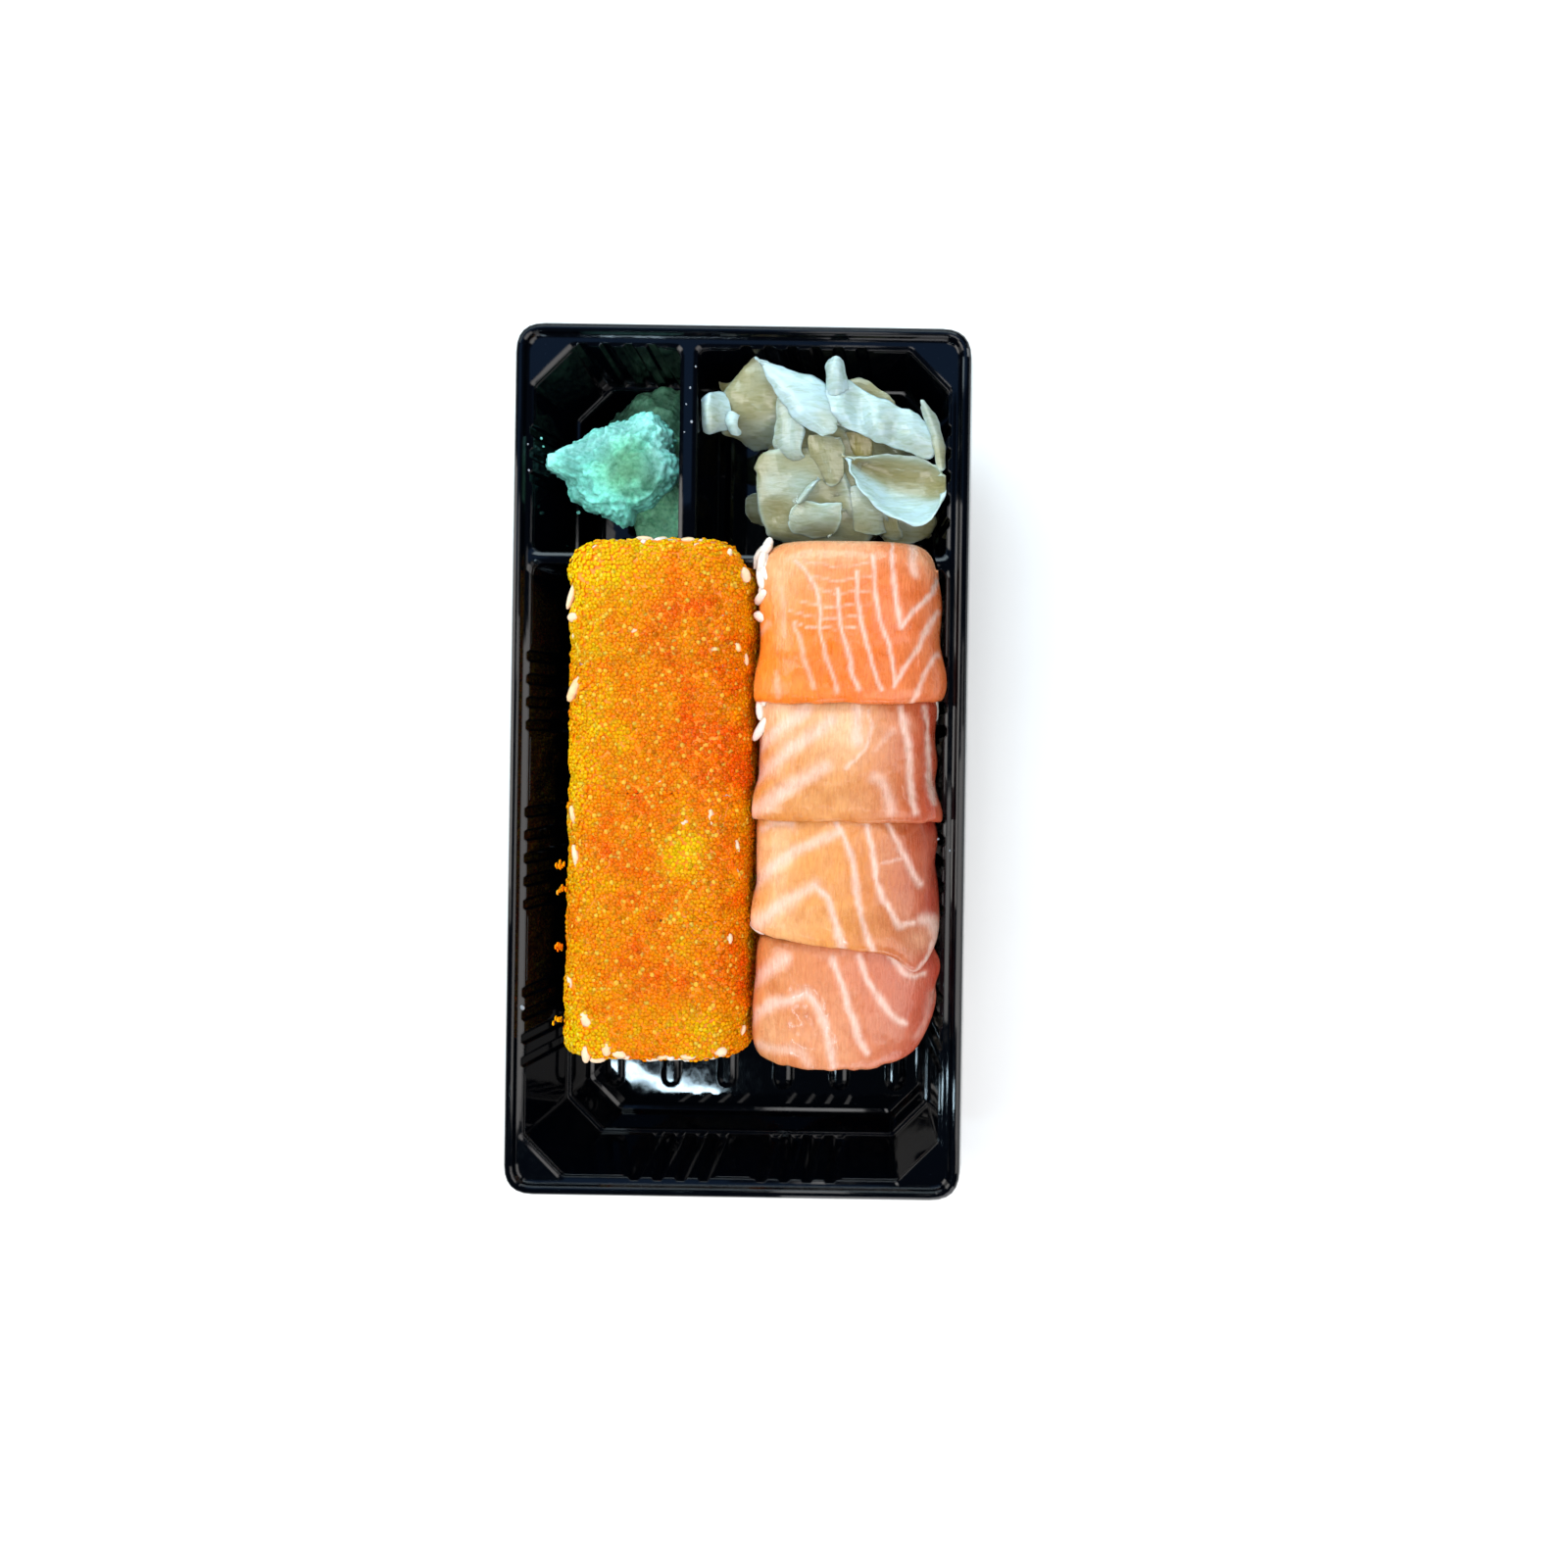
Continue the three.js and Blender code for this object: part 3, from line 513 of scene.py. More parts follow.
ROE_YELLOW, ROE_ORANGE, ROE_RED = (
    np.array(linear(*c)) for c in ((255, 188, 0), (255, 137, 0), (255, 86, 0))
)
# Painted highlight: a share of the eggs is painted paler, as glints.
GLINTING = np.array(linear(255, 222, 90))
GLINTING_SHARE = 0.07  # of the eggs, which catch the light
UNDER_ROE = np.array(linear(250, 140, 0))  # rice stained by the roe on it
EGG_SPACING = 0.84
EGG_RADII = (0.5, 0.64)
EGG_FLATNESS = 0.46
# Clusters of eggs beside the roll's left side, at their middles, and how many are in each.
STRAY_EGGS = [(-37.0, -22.5, 34), (-37.1, -27.4, 33.5), (-37.2, -39.5, 33), (-36.8, -55.0, 33)]
STRAY_CLUSTER = 9


def roe_colour(places, random):
    """Each egg's colour: from orange to yellow or red by its place, partly painted light, and a few painted
    paler as glints.
    """
    lean = np.zeros(len(places))
    for x, y, radius, pull in ROE_SHADES:
        lean += pull * np.exp(-((places[:, 0] - x) ** 2 + (places[:, 1] - y) ** 2) / radius**2)
    lean *= 0.35 + 0.65 * smoothstep(25, 35, places[:, 2])
    lean += 0.42 * uneven(places, 3.2, 71) + 0.34 * uneven(places, 9, 72)
    lean += random.normal(0, 0.14, len(places)) + 0.02
    towards = np.clip(np.abs(lean), 0, 1)[:, None]
    far = np.where(lean[:, None] > 0, ROE_YELLOW, ROE_RED)
    colour = ROE_ORANGE * (1 - towards) + far * towards
    bright = (random.random(len(places)) < GLINTING_SHARE)[:, None]
    return np.where(bright, colour * 0.6 + GLINTING * 0.4, colour)


def around_roll(column, number, low_left, low_right, spacing, random, under, spill=0.0):
    """Places and normals spread over one length's skin, its sides down to these heights, and
    running out this far past its cuts."""
    fine = 1440
    turn = np.linspace(0, 2 * math.pi, fine, endpoint=False)
    section = on_roll(column, number, turn, np.zeros(fine))
    step = np.linalg.norm(np.diff(section, axis=0, append=section[:1])[:, [0, 2]], axis=1)
    length = np.concatenate([[0], np.cumsum(step)])
    cuts = column["cuts"]
    honeycomb = 0.87  # rows lie closer than the places along them
    rows = int((cuts[number] - cuts[number + 1]) / (spacing * honeycomb))
    columns = int(length[-1] / spacing)
    grid_u, grid_v = np.meshgrid(np.arange(columns), np.arange(rows))
    u = (grid_u + 0.5 * (grid_v % 2) + random.normal(0, 0.25, grid_u.shape)).ravel() / columns
    v = (grid_v + 0.5 + random.normal(0, 0.22, grid_v.shape)).ravel() / rows
    angle = np.interp((u % 1) * length[-1], length, np.append(turn, 2 * math.pi))
    along = (v * 2 - 1) * (1 + 2 * spill / (cuts[number] - cuts[number + 1]))
    # At the roll's two free ends nothing runs out past the end.
    along = np.clip(along, -0.999 if number == 3 else -2, 0.999 if number == 0 else 2)
    here = on_roll(column, number, angle, along, 1, under)
    beside = on_roll(column, number, angle + 0.004, along, 1, under) - here
    ahead = on_roll(column, number, angle, along + 0.01, 1, under)
    ahead -= on_roll(column, number, angle, along - 0.01, 1, under)
    normal = np.cross(ahead, beside)
    normal /= np.linalg.norm(normal, axis=1, keepdims=True) + 1e-9
    height = np.where(here[:, 0] < column["x"], low_left, low_right)
    keep = here[:, 2] > height
    return here[keep], normal[keep]


def end_grains(column, number, side, count, random):
    """Grains lying on the cut end of a length, side 1 its back and -1 its front."""
    angle = random.uniform(0, 2 * math.pi, count)
    reach = np.sqrt(random.uniform(0.002, 1, count)) * 0.95
    places = on_roll(column, number, angle, np.full(count, float(side)), reach, 0.5)
    normals = np.tile([0.0, side, 0.0], (count, 1)) + random.normal(0, 0.12, (count, 3))
    return places, normals


def grains_at(places, normals, random, sunk=0.5):
    """Cooked grains half sunk in a surface, each its own size and way round."""
    count = len(places)
    long = random.uniform(4.6, 6.4, count)
    wide = random.uniform(2.1, 2.7, count)
    normals = normals + random.normal(0, 0.1, (count, 3))
    turns = upright(normals, random.uniform(0, 2 * math.pi, count))
    sunk_to = places - normals * (wide * (sunk - 0.14))[:, None]
    return copies(GRAIN, sunk_to, turns, np.stack([long, wide, wide * 0.86], 1))


def rice_tint(count, random, stain=0.0):
    """Colours for all the points of this many grains, stained this much by the roe."""
    tone = random.uniform(0.9, 1.02, (count, 1))
    white = RICE_WHITE * tone
    orange = np.clip(random.normal(stain, 0.1, (count, 1)), 0, 0.8)
    tint = white * (1 - orange) + np.array(linear(250, 190, 110)) * orange
    return np.repeat(tint, len(GRAIN[0]), axis=0)


def join_up(parts):
    """Several (points, faces, tint) as one."""
    first, points, faces, tints = 0, [], [], []
    for more_points, more_faces, tint in parts:
        points.append(more_points)
        faces.append(np.asarray(more_faces) + first)
        tints.append(tint)
        first += len(more_points)
    return np.concatenate(points), np.concatenate(faces), np.concatenate(tints)


BARE_END = {0: 1, 3: -1}  # which end of a length shows: its back or its front
END_GRAIN_COUNT, HIDDEN_GRAIN_COUNT = 250, 16
GRAIN_INSET = 1.25  # how far grains keep behind a knife cut

for number in range(4):
    random = np.random.default_rng(100 + number)
    back, front = ROE_COLUMN["cuts"][number], ROE_COLUMN["cuts"][number + 1]
    after_cut, before_cut = number > 0, number < 3

    # The pressed rice: white at its two ends, stained where the roe covers it.
    points, faces = rice_core(ROE_COLUMN, number, 0.6, 0.05)
    middle = (points[:, 1].max() + points[:, 1].min()) / 2
    at_end = np.abs(points[:, 1] - middle) > np.ptp(points[:, 1]) / 2 - 0.6
    centre = np.array([ROE_COLUMN["x"], 20.2])
    inner = np.max(np.abs(points[:, [0, 2]] - centre), axis=1) < 16.5
    bare = (at_end & inner)[:, None]
    parts = [(points, faces, np.where(bare, RICE_WHITE * [0.98, 0.9, 0.8], UNDER_ROE))]

    # Grains on its ends, many on one that shows and few in a cut.
    places, normals = [], []
    for side in (-1, 1):
        count = END_GRAIN_COUNT if side == BARE_END.get(number) else HIDDEN_GRAIN_COUNT
        end_places, end_normals = end_grains(ROE_COLUMN, number, side, count, random)
        places.append(end_places)
        normals.append(end_normals)
    places, normals = np.concatenate(places), np.concatenate(normals)
    inside = places[:, 2] > ROLL_BOTTOM + 1.6
    if after_cut:
        inside &= ~((places[:, 1] > back - 3) & (places[:, 2] < 24))
    if before_cut:
        inside &= ~((places[:, 1] < front + 3) & (places[:, 2] < 24))
    places, normals = places[inside], normals[inside]
    if after_cut:
        places[:, 1] = np.minimum(places[:, 1], back - GRAIN_INSET)
    if before_cut:
        places[:, 1] = np.maximum(places[:, 1], front + GRAIN_INSET)
    if number == 0:
        low = places[:, 2] < 33
        places[low, 1] = np.minimum(places[low, 1], DIVIDER_FACE - 1.1)
    parts.append((*grains_at(places, normals, random, 0.42), rice_tint(len(places), random)))

    # Single grains that show through the roe, each laid on the skin at its place.
    bare_grains = [g for g in BARE_GRAINS if front <= g[1] < back or (number == 3 and g[1] < front)]
    round_it, down_it = np.meshgrid(np.linspace(0.1, 3.04, 300), np.linspace(-1, 1, 120))
    skin = on_roll(ROE_COLUMN, number, round_it.ravel(), down_it.ravel())
    bare_places, sizes, spins = [], [], []
    for x, y, across, along in bare_grains:
        nearest = np.argmin((skin[:, 0] - x) ** 2 + (skin[:, 1] - y) ** 2 - 0.02 * skin[:, 2])
        bare_places.append(skin[nearest] * [0, 0, 1] + [x, y, -GRAIN_INSET])
        long, wide = max(across, along), max(min(across, along), 1.3)
        spins.append(math.pi / 2 if along > across else 0.0)
        sizes.append((long * 1.05, wide * 0.9, wide * 0.8))
    bare_places, count = np.array(bare_places), len(bare_grains)
    spins = np.array(spins) + random.normal(math.pi / 2, 0.25, count)
    turns = upright(np.tile([0, 0, 1.0], (count, 1)), spins)
    parts.append((*copies(GRAIN, bare_places, turns, np.array(sizes)), rice_tint(count, random, 0.58)))
    points, faces, tint = join_up(parts)
    rice = mesh_piece(f"roe_roll_rice_{number + 1}", points, faces, cooked_rice, tint)
    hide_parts(f"roe_roll_{number + 1}")

    # The eggs, in an uneven coat that leaves those grains bare and thins out low down.
    places, normals = around_roll(ROE_COLUMN, number, 4, 14, EGG_SPACING, random, 0.5, 0.15)
    rise = 0.5 * uneven(places, 3.4, 5) + 0.1 * uneven(places, 1.5, 6) + random.normal(0, 0.07, len(places))
    places = places + normals * rise[:, None]
    clear = np.ones(len(places), bool)
    for (x, y, z), (_, _, across, along) in zip(bare_places, bare_grains):
        over = ((places[:, 0] - x) / (across / 2)) ** 2 + ((places[:, 1] - y) / (along / 2)) ** 2
        clear &= ~((over < 0.45) & (places[:, 2] > z - 3))
    thin = (uneven(places, 3.5, 9) > 0.62) & (places[:, 2] < 33)
    clear &= ~(thin & (random.random(len(places)) < 0.75))
    places, normals = places[clear], normals[clear]
    stray = [spot for spot in STRAY_EGGS if front <= spot[1] < back]
    if stray:
        count = STRAY_CLUSTER * len(stray)
        more = np.repeat(np.array(stray, float), STRAY_CLUSTER, axis=0) + random.normal(0, 0.4, (count, 3))
        more[:, 0] += random.uniform(0, 1.3, count)
        places = np.concatenate([places, more])
        normals = np.concatenate([normals, np.tile([-1.0, 0, 0], (count, 1))])
    sizes = random.uniform(*EGG_RADII, len(places))[:, None] * [1.0, 1.0, EGG_FLATNESS]
    points, faces = copies(EGG, places, upright(normals, random.uniform(0, 6, len(places))), sizes)
    # Each egg's colour times its painted shade and highlight.
    tint = np.clip(roe_colour(places, random)[:, None] * EGG_GLOW, 0, 1).reshape(-1, 3)
    coat = mesh_piece(f"roe_coat_{number + 1}", within_walls(points), faces, fish_roe, tint)


# ---------- the salmon rolls' rice ----------
# Four lengths of the same pressed rice, without roe, a little lower to carry the fish. Their
# grains show at the ends, on the outer side and on the shoulder beside the roe.

# Grains that stand out beside the slices, on the left shoulder and low on the right.
SHOULDER_GRAINS = [
    (5.2, 45.0, 33.2), (4.4, 44.0, 33.5), (4.9, 42.8, 34.0), (4.2, 41.4, 34.0), (4.9, 40.2, 34.3),
    (4.2, 38.8, 33.8), (4.8, 36.8, 33.9), (4.3, 34.4, 33.5), (4.4, 30.4, 33.2), (5.0, 14.4, 33.6),
    (4.5, 11.2, 33.2), (4.5, 7.0, 33.4), (4.6, -34.6, 33.4), (41.6, 14.2, 29.5), (41.8, 12.0, 28.5),
    (41.4, 10.2, 29), (41.6, -8.4, 29.5),
]
for number in range(4):
    random = np.random.default_rng(200 + number)
    back, front = SALMON_COLUMN["cuts"][number], SALMON_COLUMN["cuts"][number + 1]
    points, faces = rice_core(SALMON_COLUMN, number, 0.8, 0.3)
    parts = [(points, faces, np.tile(RICE_WHITE * np.array([0.98, 0.9, 0.82]), (len(points), 1)))]

    # Grains round its skin, except where the fish covers it, and on its free end.
    places, normals = around_roll(SALMON_COLUMN, number, 22, 3.5, 2.75, random, 0.75)
    covered = (places[:, 2] > 30.5) | ((places[:, 2] > 27) & (places[:, 0] > 38.2))
    if number == 0:
        covered &= places[:, 1] < 43.4
    places, normals = places[~covered], normals[~covered]
    places[:, 1] = np.clip(places[:, 1], front + 1.5, back - 1.5)
    if number in BARE_END:
        side = BARE_END[number]
        end_places, end_normals = end_grains(SALMON_COLUMN, number, side, 240, random)
        inside = end_places[:, 2] > (33 if side == 1 else ROLL_BOTTOM + 1.6)
        places = np.concatenate([places, end_places[inside]])
        normals = np.concatenate([normals, end_normals[inside]])

    # The grains that stand out beside the slices lean to their own side.
    shoulder = [g for g in SHOULDER_GRAINS if front <= g[1] < back]
    leans = [(-0.7 if x < SALMON_COLUMN["x"] else 0.7, 0, 0.7) for x, _, _ in shoulder]
    places = np.concatenate([places, np.reshape(shoulder, (-1, 3))])
    normals = np.concatenate([normals, np.reshape(leans, (-1, 3))])
    parts.append((*grains_at(places, normals, random), rice_tint(len(places), random, 0.02)))
    points, faces, tint = join_up(parts)
    points = within_walls(points)
    low = (points[:, 2] < 31.4) & (points[:, 1] > 30)
    points[low, 1] = np.minimum(points[low, 1], DIVIDER_FACE)
    rice = mesh_piece(f"salmon_rice_{number + 1}", points, faces, cooked_rice, tint)
    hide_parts(f"salmon_roll_rice_{number + 1}")


# ---------- the salmon ----------
# Raw salmon sliced across the grain, pale fat between its flakes, draped over the rice. Each
# slice laps over the next one's back edge. It is moist, and light goes a little way into it.

# The fat's colour, also used for the painted glints on the first slice.
FAT_WHITE = np.array(linear(234, 206, 192))
PALE_FLESH = np.array(linear(238, 200, 160))
# Each slice: its front edge's shape, how far round the rice it reaches to either side in degrees,
# its thickness, how far its right side flares, the colours of its flesh from left to right, darkened
# towards the right as painted shade, its fat lines as (half width, strength, points along them), on the
# first slice with thin painted glints among them, and its pale places as (x, y, radius, strength), partly
# paler flesh and partly painted sheen.
SLICES = [
    {
        "edge": (12.4, 0.2, 0.5, 0.8), "left": 62, "right": 66, "thickness": 2.6, "flare": 0,
        "flesh": ((234, 137, 38), (227, 116, 26), (210, 108, 56)),
        "fat_and_glints": [
            (0.45, 0.75, [(12.3, 41.8), (14.8, 39.6), (17.1, 36.3), (17.7, 32.6), (17.9, 27.3),
                (19.1, 22.9), (20.7, 18.4), (22, 14.7)]),
            (0.5, 0.9, [(21.5, 36), (21.8, 31.5), (23, 25.2), (24.4, 20.3), (26.3, 15.5)]),
            (0.5, 0.9, [(25.2, 39.4), (25.5, 35.3), (26.1, 30.4), (27.1, 26.4), (28.9, 20.4), (30.6, 15.2)]),
            (0.5, 0.85, [(28.5, 42.8), (29, 35.3), (29.8, 30.9), (31, 27.2), (32.9, 21.2), (33.6, 16.4)]),
            (0.6, 0.9, [(32.2, 45.8), (32.5, 41), (32.9, 36.1), (33.7, 31.7), (34.5, 28.3), (36.9, 31.7),
                (40.6, 35.9), (41.5, 39)]),
            (1.0, 0.7, [(36.3, 46.3), (36.9, 41.8), (37.3, 39.6)]),
            (0.6, 0.8, [(33.4, 16), (35.2, 20.1), (38.1, 24.7), (40.3, 29.2), (41.6, 32)]),
            (0.6, 0.7, [(37.2, 12.7), (39, 18), (41.9, 23.2)]),
            (0.55, 0.55, [(12.7, 28.4), (13.7, 25.8), (15, 21.3), (17, 15.4)]),
            (0.8, 0.35, [(4.9, 27.1), (6.7, 28.7)]), (0.7, 0.35, [(8.9, 18.6), (9.6, 13.4)]),
            (0.6, 0.3, [(9.5, 36), (10.4, 31), (10.6, 26)]),
            # The six thin lines across the slice from here on are painted glints, a glistening highlight on
            # knife marks, drawn like fat.
            (0.28, 0.5, [(14.2, 41.6), (20.5, 40.3), (27.8, 41.4)]), (0.28, 0.45, [(15.2, 38.8), (21, 37.6),
                (28.8, 38.6)]),
            (0.28, 0.45, [(15.6, 36.2), (22, 34.9), (29.5, 35.8)]), (0.28, 0.5, [(12.6, 33.2), (19.8, 32.2),
                (28.2, 33)]),
            (0.28, 0.5, [(11.4, 31.3), (18.4, 29.8), (26.8, 30.5)]), (0.28, 0.65, [(12.6, 28.9), (19, 27.6),
                (25.4, 28.2)]),
        ],
        "pale": [(14, 44, 9, 0.35), (25, 46.5, 6, 0.5), (40, 44, 5, 0.4), (6, 40, 5, 0.3)],
    },
    {
        "edge": (-11.9, -0.2, -0.3, 0), "left": 64, "right": 68, "thickness": 2.1, "flare": -0.6,
        "flesh": ((213, 142, 68), (209, 141, 76), (181, 74, 46)),
        "fat_and_glints": [
            (1.5, 0.7, [(4, 2.6), (6.3, 4.4), (10.8, 8.2), (15.2, 10.9)]),
            (1.7, 0.7, [(4, -3.5), (7.5, -0.8), (12, 2.6), (17.5, 6.4), (20.4, 9.1)]),
            (1.9, 0.7, [(3.8, -10.8), (5.8, -9.4), (11, -5.6), (15.4, -2.9), (19.1, -0.6)]),
            (1.6, 0.75, [(25.6, 11), (25.7, 5.1)]), (0.5, 0.6, [(27.9, 11.1), (29, 8.1), (28, 4.4),
                (25.4, 0.6), (23.6, -0.9)]),
            (0.8, 0.8, [(34.6, 12), (35.4, 7.5), (36.4, 3.7), (36.3, -3), (37.1, -6.3), (37.9, -9.7)]),
            (0.7, 0.8, [(39.2, 12), (39.7, 8.3), (40.1, 1.9), (40.4, -2.5), (41.6, -8.1)]),
            (1.5, 0.55, [(29.6, -2.7), (31.1, -3.8), (32.2, -6.8), (33, -9.7)]),
            (0.8, 0.3, [(33.2, 7.4), (31.3, 5.2), (29.5, 2.9)]),
        ],
        "pale": [(23, 8.5, 6, 0.6), (10, 12, 7, 0.45), (22, 3, 5, 0.25), (6, 12, 5, 0.4)],
    },
    {
        "edge": (-37.8, -2.4, 1.4, 5.5), "left": 66, "right": 66, "thickness": 2.3, "flare": -0.2, "lobe": 4.6,
        "flesh": ((221, 158, 88), (218, 146, 74), (165, 53, 35)),
        "fat_and_glints": [
            (1.6, 0.7, [(3.8, -26), (4.9, -24.9), (9.3, -21.1), (13, -18), (17.8, -16.1), (22.3, -14)]),
            (0.8, 0.9, [(21.6, -12.4), (23.8, -15.6), (25.4, -20.4), (26.2, -26), (27.4, -32), (29.7, -37.9)]),
            (1.7, 0.7, [(3.8, -34.6), (4.7, -33.8), (8.7, -30.4), (13.2, -27.7), (17.6, -25)]),
            (0.9, 0.9, [(17.4, -24.7), (20.2, -27.6), (21.8, -32.1), (23.6, -37.6)]),
            (0.75, 0.9, [(22.6, -10.8), (25.6, -10.7), (27.8, -12.2), (29.4, -17.4), (30.2, -23),
                (31.8, -27.8), (35.2, -33.4), (37.9, -32.9)]),
            (0.7, 0.8, [(32.3, -12.1), (33.5, -15.1), (35.8, -19.2), (38.1, -23.2), (39.2, -25.1)]),
            (0.4, 0.5, [(31.3, -20.2), (35, -19.6)]), (0.9, 0.6, [(5.5, -14), (9.2, -12.5), (12.2, -12.8)]),
            (1.3, 0.8, [(39.6, -32.2), (41.6, -32.6), (42.6, -35)]), (0.7, 0.7, [(42.3, -36), (40.6, -40.4),
                (38, -42.8), (35, -41.4)]),
        ],
        "pale": [(5, -20, 6, 0.4), (11, -36, 5, 0.2), (5, -37, 4, 0.3), (40, -36, 3.5, 0.4)],
    },
    {
        "edge": (-63.2, 0.4, 1.6, 9), "left": 66, "right": 58, "thickness": 2.4, "flare": 1.6,
        "flesh": ((210, 135, 74), (207, 125, 82), (174, 70, 50)),
        "fat_and_glints": [
            (1.5, 0.7, [(3.8, -46.8), (4.5, -46.1), (7.8, -43.1), (11.5, -40)]),
            (1.4, 0.8, [(3.8, -54.4), (5, -53.2), (8.6, -49.8), (12.7, -49), (16.4, -47.1)]),
            (1.0, 0.85, [(16.4, -47.1), (18.7, -50), (20.3, -54.5), (22.2, -61.9)]),
            (0.9, 0.9, [(21.2, -39.9), (23.1, -44), (25.1, -49.9), (26.6, -55.1), (28.5, -59.2)]),
            (0.75, 0.85, [(26.8, -39.8), (27.9, -42.8), (30.2, -46.9), (34, -52), (36.3, -53.8)]),
            (0.75, 0.8, [(33.1, -39.7), (35.8, -42.7), (38, -43.8), (40.3, -43.7)]),
            (1.3, 0.55, [(5.8, -59.2), (9.9, -59.1), (15.1, -59.4), (16.6, -61.6)]),
            (0.9, 0.3, [(41.8, -47.8), (40.8, -52.7), (38.9, -56.4)]),
        ],
        "pale": [(22, -56, 8, 0.2), (8, -56, 5, 0.25)],
    },
]


def drawn_out(tree, place, scale, turn):
    """The places on the piece stretched along its fibres, which lie at this turn."""
    sockets = {"Vector": place, "Scale": scale, "Rotation": (0, 0, turn)}
    return shader(tree, "ShaderNodeMapping", sockets).outputs["Vector"]


raw_salmon, tree, surface = finish("raw_salmon", {
    "Roughness": 0.3, "IOR": 1.4, "Specular IOR Level": 0.4, "Coat Weight": 0.25, "Coat Roughness": 0.12,
    "Subsurface Weight": 0.4, "Subsurface Radius": (1.0, 0.42, 0.26), "Subsurface Scale": 1.6 * MM,
})
place = on_piece(tree)
flake = clouds(tree, place, 260.0, 5.0, Roughness=0.65)
fibre = clouds(tree, drawn_out(tree, place, (2100.0, 420.0, 900.0), 0.12), 1.0, 3.0)
tinted(
    tree, surface,
    ramp(tree, flake, [(0.3, (0.88, 0.8, 0.76)), (0.62, (1, 1, 1))]),
    ramp(tree, fibre, [(0.36, (0.9, 0.83, 0.8)), (0.6, (1, 1, 1))]),
)
height = shader(tree, "ShaderNodeMath", {0: fibre, 1: flake}, operation="ADD")
relief(tree, surface, height.outputs[0], 0.26, 0.75)
dulled(tree, surface, flake, 0.35, 0.7, 0.2, 0.42)


def near_line(points, line):
    """Each point's distance to a line of several straight lengths."""
    best = np.full(len(points), 1e9)
    for (x0, y0), (x1, y1) in zip(line, line[1:]):
        dx, dy = x1 - x0, y1 - y0
        t = np.clip(((points[:, 0] - x0) * dx + (points[:, 1] - y0) * dy) / (dx * dx + dy * dy), 0, 1)
        best = np.minimum(best, np.hypot(points[:, 0] - x0 - t * dx, points[:, 1] - y0 - t * dy))
    return best


SLICE_LEFT_LIMIT = 3.55  # the roe roll's side
FLESH_DEPTH = 0.16  # how far the flakes stand up between the fat


def on_slice(number, a, b, c):
    """Points in a slice: across it from its left end to its right, from its front edge to its
    back, and from its underside to its top, each from -1 to 1."""
    cut = SLICES[number]
    e0, e1, e2, e3 = cut["edge"]
    half_height = (SALMON_COLUMN["top"] - ROLL_BOTTOM) / 2
    back = SALMON_COLUMN["cuts"][number] + (1.3 if number == 0 else -0.3)
    angle = np.radians(np.where(a < 0, a * cut["left"], a * cut["right"]))
    across, up = np.sin(angle), np.cos(angle)
    power = SALMON_COLUMN["squareness"]
    spread = (np.abs(across) ** power + np.abs(up) ** power) ** (-1 / power)
    along_rim = np.stack([a * 17, a * 0, a * 0 + number], -1).reshape(-1, 3)
    ragged = uneven(along_rim, 4.2, 27) + 0.5 * uneven(along_rim, 1.3, 28)
    front = e0 + e1 * a + e2 * a * a + e3 * np.maximum(0, a) ** 6 + ragged * (0.6 if number == 3 else 0.35)
    front = front - cut.get("lobe", 0) * np.exp(-(((a - 0.62) / 0.17) ** 2))
    end = rounding((1 - b) * 13, 5) if number == 0 else 0
    y = front + (b + 1) / 2 * (back - front)
    thin = 1 - 0.55 * np.abs(b) ** 6 - 0.35 * np.abs(a) ** 6
    lift = 0 if number == 3 else 2.4 * smoothstep(0.25, 1, -b)
    wave = 0.3 * np.sin(a * 5 + number * 2) * np.sin(b * 3 + number)
    skin = 1.16 + lift + wave + (c + 1) / 2 * cut["thickness"] * thin
    bulge = cut["flare"] * smoothstep(0.55, 1, a) * (1 - b * b)
    bulge = bulge + 0.35 * np.sin(b * 7 + number * 2) * smoothstep(0.6, 1, a)
    reach = SALMON_COLUMN["half_width"] + skin * 0.9 - end * 0.9 + bulge
    x = SALMON_COLUMN["x"] + across * spread * reach
    z = ROLL_BOTTOM + half_height + up * spread * (half_height + skin - end * 0.55)
    return np.stack([np.maximum(x, SLICE_LEFT_LIMIT), y, z], axis=-1)


def sheet_faces(rows, columns):
    """Triangles of a closed sheet: its top grid of points, then its underside's, edges joined."""
    grid = np.arange(rows * columns).reshape(rows, columns)
    under = grid + rows * columns

    def quads(g):
        a, b, c, d = g[:-1, :-1].ravel(), g[1:, :-1].ravel(), g[1:, 1:].ravel(), g[:-1, 1:].ravel()
        return np.concatenate([np.stack([a, b, c], 1), np.stack([a, c, d], 1)])

    rim = np.concatenate([grid[0, :-1], grid[:-1, -1], grid[-1, :0:-1], grid[:0:-1, 0]])
    low = rim + rows * columns
    rim_next, low_next = np.roll(rim, -1), np.roll(low, -1)
    sides = np.concatenate([np.stack([rim, low, low_next], 1), np.stack([rim, low_next, rim_next], 1)])
    return np.concatenate([quads(grid), quads(under)[:, ::-1], sides[:, ::-1]])


def crowded(t):
    """Even steps from -1 to 1 moved closer together towards both ends."""
    return np.sign(t) * (1 - (1 - np.abs(t)) ** 1.35)


